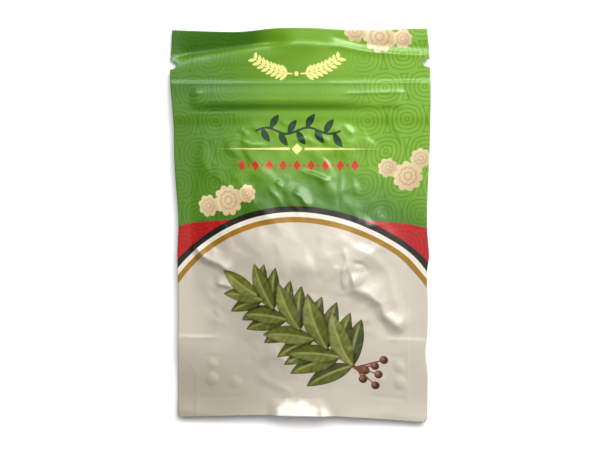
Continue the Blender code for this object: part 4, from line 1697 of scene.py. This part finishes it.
@dataclass(frozen=True)
class FilmSheet:
    """One panel of the pouch: a fine outer face, a coarser inner face and the cut edge between.

    Attributes:
        stack: The thickness of the pile of sheets.
        bend: How the sheets bend together.
        layer: Which panel this is.
        grid: The sheet's points.
        relief: Its creases and waves.
    """

    stack: FilmStack
    bend: PileBend
    layer: Layer
    grid: SheetGrid
    relief: Relief

    @property
    def form(self) -> PouchForm:
        """The pouch's shape."""
        return self.stack.form

    def shapes(self) -> tuple[np.ndarray, np.ndarray, np.ndarray, np.ndarray]:
        """Works out the outer face.

        Returns:
            x and y of every point, the height of the plain filled shape there, and how far the
            outer face lies outside of that.
        """
        x, y = self.grid.placed()
        share = self.form.front_share if self.layer is Layer.FRONT else 1 - self.form.front_share
        plain = self.form.middle(x, y) + self.bend.rise(x, y)
        plain += self.layer.value * share * self.form.filling(x, y)
        out = self.stack.half(x, y)
        if self.layer is Layer.FRONT:
            laid_out = self.bend.view.seen(x, y, plain + out)
        else:
            laid_out = (x / MM, y / MM)
        out = out + self.relief.height(*self.grid.flat(), *laid_out)
        if self.layer is Layer.BACK:
            out = np.minimum(out, plain)
        return x, y, plain, out

    def build(self, name: str) -> bpy.types.Object:
        """Builds the sheet's mesh.

        Args:
            name: The object's name.

        Returns:
            The sheet, whose first faces are the outer face's.
        """
        x, y, plain, out = self.shapes()
        z = plain + self.layer.value * out
        rows, columns = z.shape
        stride = self.grid.stride
        coarse = plain[::stride, ::stride]
        clear = out + self.layer.value * (plain - spread(coarse, stride))
        least = block_least(clear, stride)
        least[[0, -1], :] = out[::stride, ::stride][[0, -1], :]
        least[:, [0, -1]] = out[::stride, ::stride][:, [0, -1]]
        inner_z = coarse + self.layer.value * (least - self.stack.film)
        inner = np.stack([x[::stride, ::stride], y[::stride, ::stride], inner_z], -1)
        points = np.concatenate([np.stack([x, y, z], -1).reshape(-1, 3), inner.reshape(-1, 3)])
        outer_ids = np.arange(rows * columns).reshape(rows, columns)
        inner_ids = rows * columns + np.arange(inner_z.size).reshape(inner_z.shape)
        faces = quads(outer_ids).tolist() + quads(inner_ids)[:, ::-1].tolist()
        faces += self.walls(outer_ids, inner_ids)
        return link_mesh(name, points, faces, self.form.film_middle)

    def walls(self, outer: np.ndarray, inner: np.ndarray) -> list[list[int]]:
        """Closes the sheet along its four edges.

        Args:
            outer: The outer face's vertex numbers.
            inner: The inner face's vertex numbers.

        Returns:
            The edge's faces, each as wide as one step of the inner face.
        """
        stride = self.grid.stride
        faces = []
        for fine, coarse in (
            (outer[0], inner[0]),
            (outer[-1][::-1], inner[-1][::-1]),
            (outer[::-1, 0], inner[::-1, 0]),
            (outer[:, -1], inner[:, -1]),
        ):
            for i in range(len(coarse) - 1):
                top = fine[i * stride : (i + 1) * stride + 1]
                faces.append([int(coarse[i]), int(coarse[i + 1]), *(int(v) for v in top[::-1])])
        return faces

    def dress(self, made: bpy.types.Object, outer: bpy.types.Material, lining: bpy.types.Material) -> None:
        """Gives the sheet its materials and writes the attributes of the print and of its painted shade and
        highlight.

        Args:
            made: The sheet's object.
            outer: The outer face's material.
            lining: The inner face's and the edge's material.
        """
        mesh = made.data
        mesh.materials.append(outer)
        mesh.materials.append(lining)
        lined = np.ones(len(mesh.polygons), np.int32)
        lined[: (self.grid.rows - 1) * (self.grid.columns - 1)] = 0
        mesh.polygons.foreach_set("material_index", lined)
        x, y = self.grid.flat()
        layout = PrintLayout()
        art = Artwork(x, y)
        if self.layer is Layer.FRONT:
            paint_upper_field(art)
            paint_sprig(art)
        values = {
            "dome": layout.dome(x, y),
            "corners": layout.corners(x, y),
            "rings": layout.rings(x, y),
            # Partly painted shade in the green, painted shade at the foot's left corner and a painted
            # highlight at the foot's middle
            "shade": layout.shade(x, y),
            "painted_corner_shade": layout.painted_corner_shade(x, y),
            "painted_foot_glare": layout.painted_foot_glare(x, y) if self.layer is Layer.FRONT else 0 * x,
            "ring_strength": layout.ring_strength(x),
            "art_edge": art.edge,
        }
        for name, value in values.items():
            write_attribute(mesh, name, value.ravel())
        write_attribute(mesh, "art_colour", art.colour.reshape(-1, 3))


def quads(ids: np.ndarray) -> np.ndarray:
    """Lists a grid's faces.

    Args:
        ids: The grid's vertex numbers.

    Returns:
        Four vertex numbers for each face.
    """
    corners = (ids[:-1, :-1], ids[:-1, 1:], ids[1:, 1:], ids[1:, :-1])
    return np.stack(corners, -1).reshape(-1, 4)


def closed_faces(outer: np.ndarray, inner: np.ndarray) -> list[list[int]]:
    """Lists the faces of a closed sheet: its two faces and the walls along its four edges.

    Args:
        outer: The vertex numbers of one face's grid.
        inner: Those of the other face's, in the same order.

    Returns:
        Four vertex numbers for each face.
    """
    faces = quads(outer).tolist() + quads(inner)[:, ::-1].tolist()
    for edge in (np.s_[0], np.s_[-1], np.s_[:, 0], np.s_[:, -1]):
        a, b = outer[edge], inner[edge]
        faces += np.stack([a[:-1], a[1:], b[1:], b[:-1]], -1).tolist()
    return faces


@dataclass(frozen=True)
class Gusset:
    """The foot sheet: two leaves folded up between the panels."""

    form: PouchForm
    stack: FilmStack
    bend: PileBend
    columns: int = 111
    rows: int = 40
    arc_steps: int = 8
    sharp_angle: float = math.radians(40)

    def build(self) -> bpy.types.Object:
        """Builds the folded sheet as one closed mesh.

        Returns:
            The gusset.
        """
        outer_off = self.stack.film + 2 * self.stack.touch
        inner_off = self.stack.touch
        share = np.linspace(-1, 1, self.columns)
        rings = []
        for offset in (outer_off, inner_off):
            y, lift = self.path(offset, outer_off)
            x, y = self.form.place(*np.meshgrid(share, y))
            z = self.form.middle(x, y) + self.bend.rise(x, y) + lift[:, None]
            rings.append(np.stack([x, y, z], -1))
        rows, columns = rings[0].shape[:2]
        points = np.concatenate([r.reshape(-1, 3) for r in rings])
        outer = np.arange(rows * columns).reshape(rows, columns)
        faces = closed_faces(outer, outer + rows * columns)
        made = link_mesh("gusset_sheet", points, faces, self.form.film_middle)
        made.data.set_sharp_from_angle(angle=self.sharp_angle)
        made.data.materials.append(PlainFilm().material())
        return made

    def path(self, offset: float, fold_radius: float) -> tuple[np.ndarray, np.ndarray]:
        """Follows one face of the gusset up the front leaf, round the fold and down the back leaf.

        Args:
            offset: The face's distance from the middle.
            fold_radius: The fold's outer radius.

        Returns:
            y and the height over the middle of each point.
        """
        centre = self.form.fold_y - fold_radius
        up = np.linspace(self.form.foot_y, centre, self.rows)
        turn = np.linspace(math.pi / 2, -math.pi / 2, self.arc_steps + 2)[1:-1]
        y = np.concatenate([up, centre + offset * np.cos(turn), up[::-1]])
        leaf = np.full(self.rows, offset)
        return y, np.concatenate([leaf, offset * np.sin(turn), -leaf])


@dataclass(frozen=True)
class LeafFilling:
    """The dried leaves, placed by the same rule and the same draws as their solids."""

    form: PouchForm
    seed: int = 11
    layers: int = 6
    thickness: float = 0.0005
    lengths: Point = (0.055, 0.060)
    widths: Point = (0.0216, 0.0244)
    centre_y: float = -0.0110
    spacing: float = 0.0265
    layer_turn: float = math.radians(67)
    layer_turn_spread: float = math.radians(6)
    leaf_turn_spread: float = math.radians(3)
    stalk_length: float = 0.006
    stalk_width: float = 0.0016
    tip_width: float = 0.0006
    edge_wave: float = 0.05
    edge_wave_count: float = 4.5
    sheet_wave_share: float = 0.30
    clear_share: float = 0.12
    sheet_wave_lengths: Point = (0.052, 0.042)
    midrib_half: float = 0.0009
    midrib_height: float = 0.00020
    vein_spacing: float = 0.0052
    vein_start: float = 0.004
    vein_depth: float = 0.00006
    across: int = 13
    along: int = 49

    def half_width(self, place: np.ndarray, length: float, width: float) -> np.ndarray:
        """Gives the leaf's half width: a narrow stalk, then a pointed oval blade.

        Args:
            place: Distances from the stalk's end.
            length: The leaf's length.
            width: The blade's width.

        Returns:
            The half width at each place.
        """
        t = np.clip((place - self.stalk_length) / (length - self.stalk_length), 0.0, 1.0)
        blade = np.maximum(np.sin(np.pi * t**0.92), 0.0) ** 0.80
        narrowest = blend(self.stalk_width, self.tip_width, t)
        return np.maximum(width * blade, narrowest) / 2

    def leaf(
        self, name: str, layer: int, centre: Point, angle: float, size: Point, starts: Point
    ) -> bpy.types.Object:
        """Builds one leaf with a raised midrib, sunken side veins and its edge's waves.

        Args:
            name: The object's name.
            layer: Its layer, from the back up.
            centre: Its middle.
            angle: Its direction.
            size: Its length and width.
            starts: Where its waves start.

        Returns:
            The leaf.
        """
        length, width = size
        side, place = np.meshgrid(np.linspace(-1, 1, self.across), np.linspace(0, length, self.along))
        scallop = np.sin(starts[0] + 2 * np.pi * self.edge_wave_count * place / length)
        half = self.half_width(place, length, width) * (1 + self.edge_wave * scallop)
        local_x = place - length / 2
        local_y = -side * half
        x = centre[0] + local_x * math.cos(angle) - local_y * math.sin(angle)
        y = centre[1] + local_x * math.sin(angle) + local_y * math.cos(angle)
        depth = (self.form.between(x, y, 1) - self.form.between(x, y, 0)) / self.layers
        slack = np.maximum(depth - self.thickness - self.form.gap, 0)
        wave = np.sin(starts[0] + 2 * np.pi * x / self.sheet_wave_lengths[0])
        wave *= np.sin(starts[1] + 2 * np.pi * y / self.sheet_wave_lengths[1])
        share = blend(self.clear_share, 1 - self.clear_share, (layer + 0.5) / self.layers)
        middle = self.form.between(x, y, share) + self.sheet_wave_share * slack * wave
        midrib = ramp(1 - np.abs(side) * half / self.midrib_half)
        slant = (place - 0.7 * np.abs(side) * half) / self.vein_spacing
        vein = ramp(1 - np.abs(slant - np.round(slant)) / 0.12) * ramp(1 - np.abs(side) * 0.8)
        vein *= (1 - midrib) * ramp((place - self.stalk_length) / self.vein_start)
        relief = self.midrib_height * midrib - self.vein_depth * vein
        body = self.thickness / 2 * (1 - 0.45 * np.abs(side) ** 3)
        faces_z = (middle + body + relief, middle - body + 0.5 * relief)
        points = np.concatenate([np.stack([x, y, z], -1).reshape(-1, 3) for z in faces_z])
        top = np.arange(x.size).reshape(x.shape)
        made = link_mesh(name, points, closed_faces(top, top + x.size), self.form.film_middle)
        ribs = np.clip(midrib + 0.45 * vein, 0.0, 1.0).ravel()
        write_attribute(made.data, "ribs", np.concatenate([ribs, ribs]))
        return made

    def build(self) -> list[bpy.types.Object]:
        """Builds every leaf, layer by layer.

        Returns:
            The leaves, in the order of their solids.
        """
        draw = random.Random(self.seed)
        made = []
        for layer in range(self.layers):
            turn = math.pi / 2 + self.layer_turn * layer + draw.uniform(-1, 1) * self.layer_turn_spread
            for place in (-0.5, 0.5):
                turned_over = math.pi * draw.randint(0, 1)
                angle = turn + turned_over + draw.uniform(-1, 1) * self.leaf_turn_spread
                shift = place * self.spacing
                centre = (-math.sin(turn) * shift, self.centre_y + math.cos(turn) * shift)
                size = (draw.uniform(*self.lengths), draw.uniform(*self.widths))
                starts = (draw.uniform(0, 2 * math.pi), draw.uniform(0, 2 * math.pi))
                name = f"dried_leaf_{len(made) + 1:02d}"
                made.append(self.leaf(name, layer, centre, angle, size, starts))
        return made


@dataclass(frozen=True)
class SoftBox:
    """A rectangular lamp that points at the pouch.

    Attributes:
        name: The lamp's name.
        place: Where it hangs.
        size: Its width and height.
        power: Its power in watts.
    """

    name: str
    place: tuple[float, float, float]
    size: Point
    power: float

    def build(self) -> bpy.types.Object:
        """Hangs the lamp."""
        data = bpy.data.lights.new(self.name, "AREA")
        data.shape = "RECTANGLE"
        data.size, data.size_y = self.size
        data.energy = self.power
        light = bpy.data.objects.new(self.name, data)
        light.location = self.place
        light.rotation_euler = Vector(self.place).to_track_quat("Z", "Y").to_euler()
        bpy.context.scene.collection.objects.link(light)
        return light


@dataclass(frozen=True)
class Studio:
    """The floor and the soft lights above the pouch.

    Attributes:
        floor_reach: How far the floor reaches to each side.
        boxes: A wide soft box, a key light at the upper right and a strip light.
        room_colour: The colour of the pale surroundings.
        room_strength: How bright they are.
    """

    floor_reach: float = 2.5
    boxes: tuple[SoftBox, ...] = (
        SoftBox("soft_box", (0.42, 0.40, 1.50), (2.4, 2.4), 15.5),
        SoftBox("key_light", (0.72, 0.88, 1.12), (1.0, 1.0), 31.0),
        SoftBox("strip_light", (-0.22, 0.98, 1.10), (1.0, 0.22), 6.0),
    )
    room_colour: Colour = (1.0, 0.99, 0.97)
    room_strength: float = 0.14

    def build_floor(self) -> bpy.types.Object:
        """Lays the floor that the pouch lies on."""
        mesh = bpy.data.meshes.new("floor")
        reach = self.floor_reach
        corners = [(-reach, -reach, 0), (reach, -reach, 0), (reach, reach, 0), (-reach, reach, 0)]
        mesh.from_pydata(corners, [], [(0, 1, 2, 3)])
        mesh.materials.append(PaleFloor().material())
        floor = bpy.data.objects.new("floor", mesh)
        bpy.context.scene.collection.objects.link(floor)
        return floor

    def build_lights(self) -> None:
        """Hangs the lamps and sets the pale surroundings."""
        for box in self.boxes:
            box.build()
        world = bpy.data.worlds.new("pale_room")
        world.use_nodes = True
        background = world.node_tree.nodes["Background"]
        background.inputs["Color"].default_value = (*self.room_colour, 1.0)
        background.inputs["Strength"].default_value = self.room_strength
        bpy.context.scene.world = world
        bpy.context.scene.view_settings.view_transform = "Standard"


def register(piece: bpy.types.Object, slot: str, *nodes: str) -> None:
    """Fixes a piece to the pouch's body and says which solids it stands for.

    Args:
        piece: The piece.
        slot: The record's material slot; not used.
        nodes: The solids that it replaces.
    """
    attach(piece, ROOT)
    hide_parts(*nodes)
    LOG.info("%s: %d faces, stands for %s", piece.name, len(piece.data.polygons), ", ".join(nodes))


def dress_closure() -> None:
    """Gives the closure's solids their milky plastic."""
    plastic = ZipPlastic().material()
    for name in ("zip_groove", "zip_rib"):
        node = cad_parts[name]
        node.data.materials.clear()
        node.data.materials.append(plastic)
        LOG.info("%s: the solid itself, in milky plastic", name)


def main() -> None:
    """Builds the studio and the pouch, piece by piece."""
    logging.basicConfig(level=logging.INFO, format="%(name)s %(message)s")
    form = PouchForm.from_frame()
    view = View(form.film_middle)
    view.build()
    studio = Studio()
    studio.build_lights()
    studio.build_floor()

    stack = FilmStack(form)
    bend = PileBend(form, view, pile_creases())
    lining = MetalLining().material()
    crumples = (Facets(14.0, 0.85, 3), Facets(7.0, 0.72, 4, softening=1), Facets(3.8, 0.46, 5, softening=1))
    front_relief = Relief(form, front_creases(form), spot_seals(), crumples, calm_share=0.42)
    front = FilmSheet(stack, bend, Layer.FRONT, SheetGrid(form, 235, 385), front_relief)
    front_film = front.build("front_film")
    front.dress(front_film, PrintedFilm().material("front_print"), lining)
    register(front_film, "front_print", "front_panel")

    back_relief = Relief(form, back_creases(form), (), (Facets(17.0, 0.5, 8), Facets(8.0, 0.2, 9)), 0.2, 10)
    back = FilmSheet(stack, bend, Layer.BACK, SheetGrid(form, 145, 229, 2), back_relief)
    back_film = back.build("back_film")
    back.dress(back_film, PrintedFilm().material("back_print"), lining)
    register(back_film, "back_film", "back_panel")

    register(Gusset(form, stack, bend).build(), "gusset_film", "bottom_gusset")
    dress_closure()
    leaf_finish = DriedLeaf().material()
    for number, leaf in enumerate(LeafFilling(form).build(), 1):
        leaf.data.materials.append(leaf_finish)
        register(leaf, "dried_leaf", f"bay_leaf_{number:02d}")


if __name__ == "__main__":
    main()
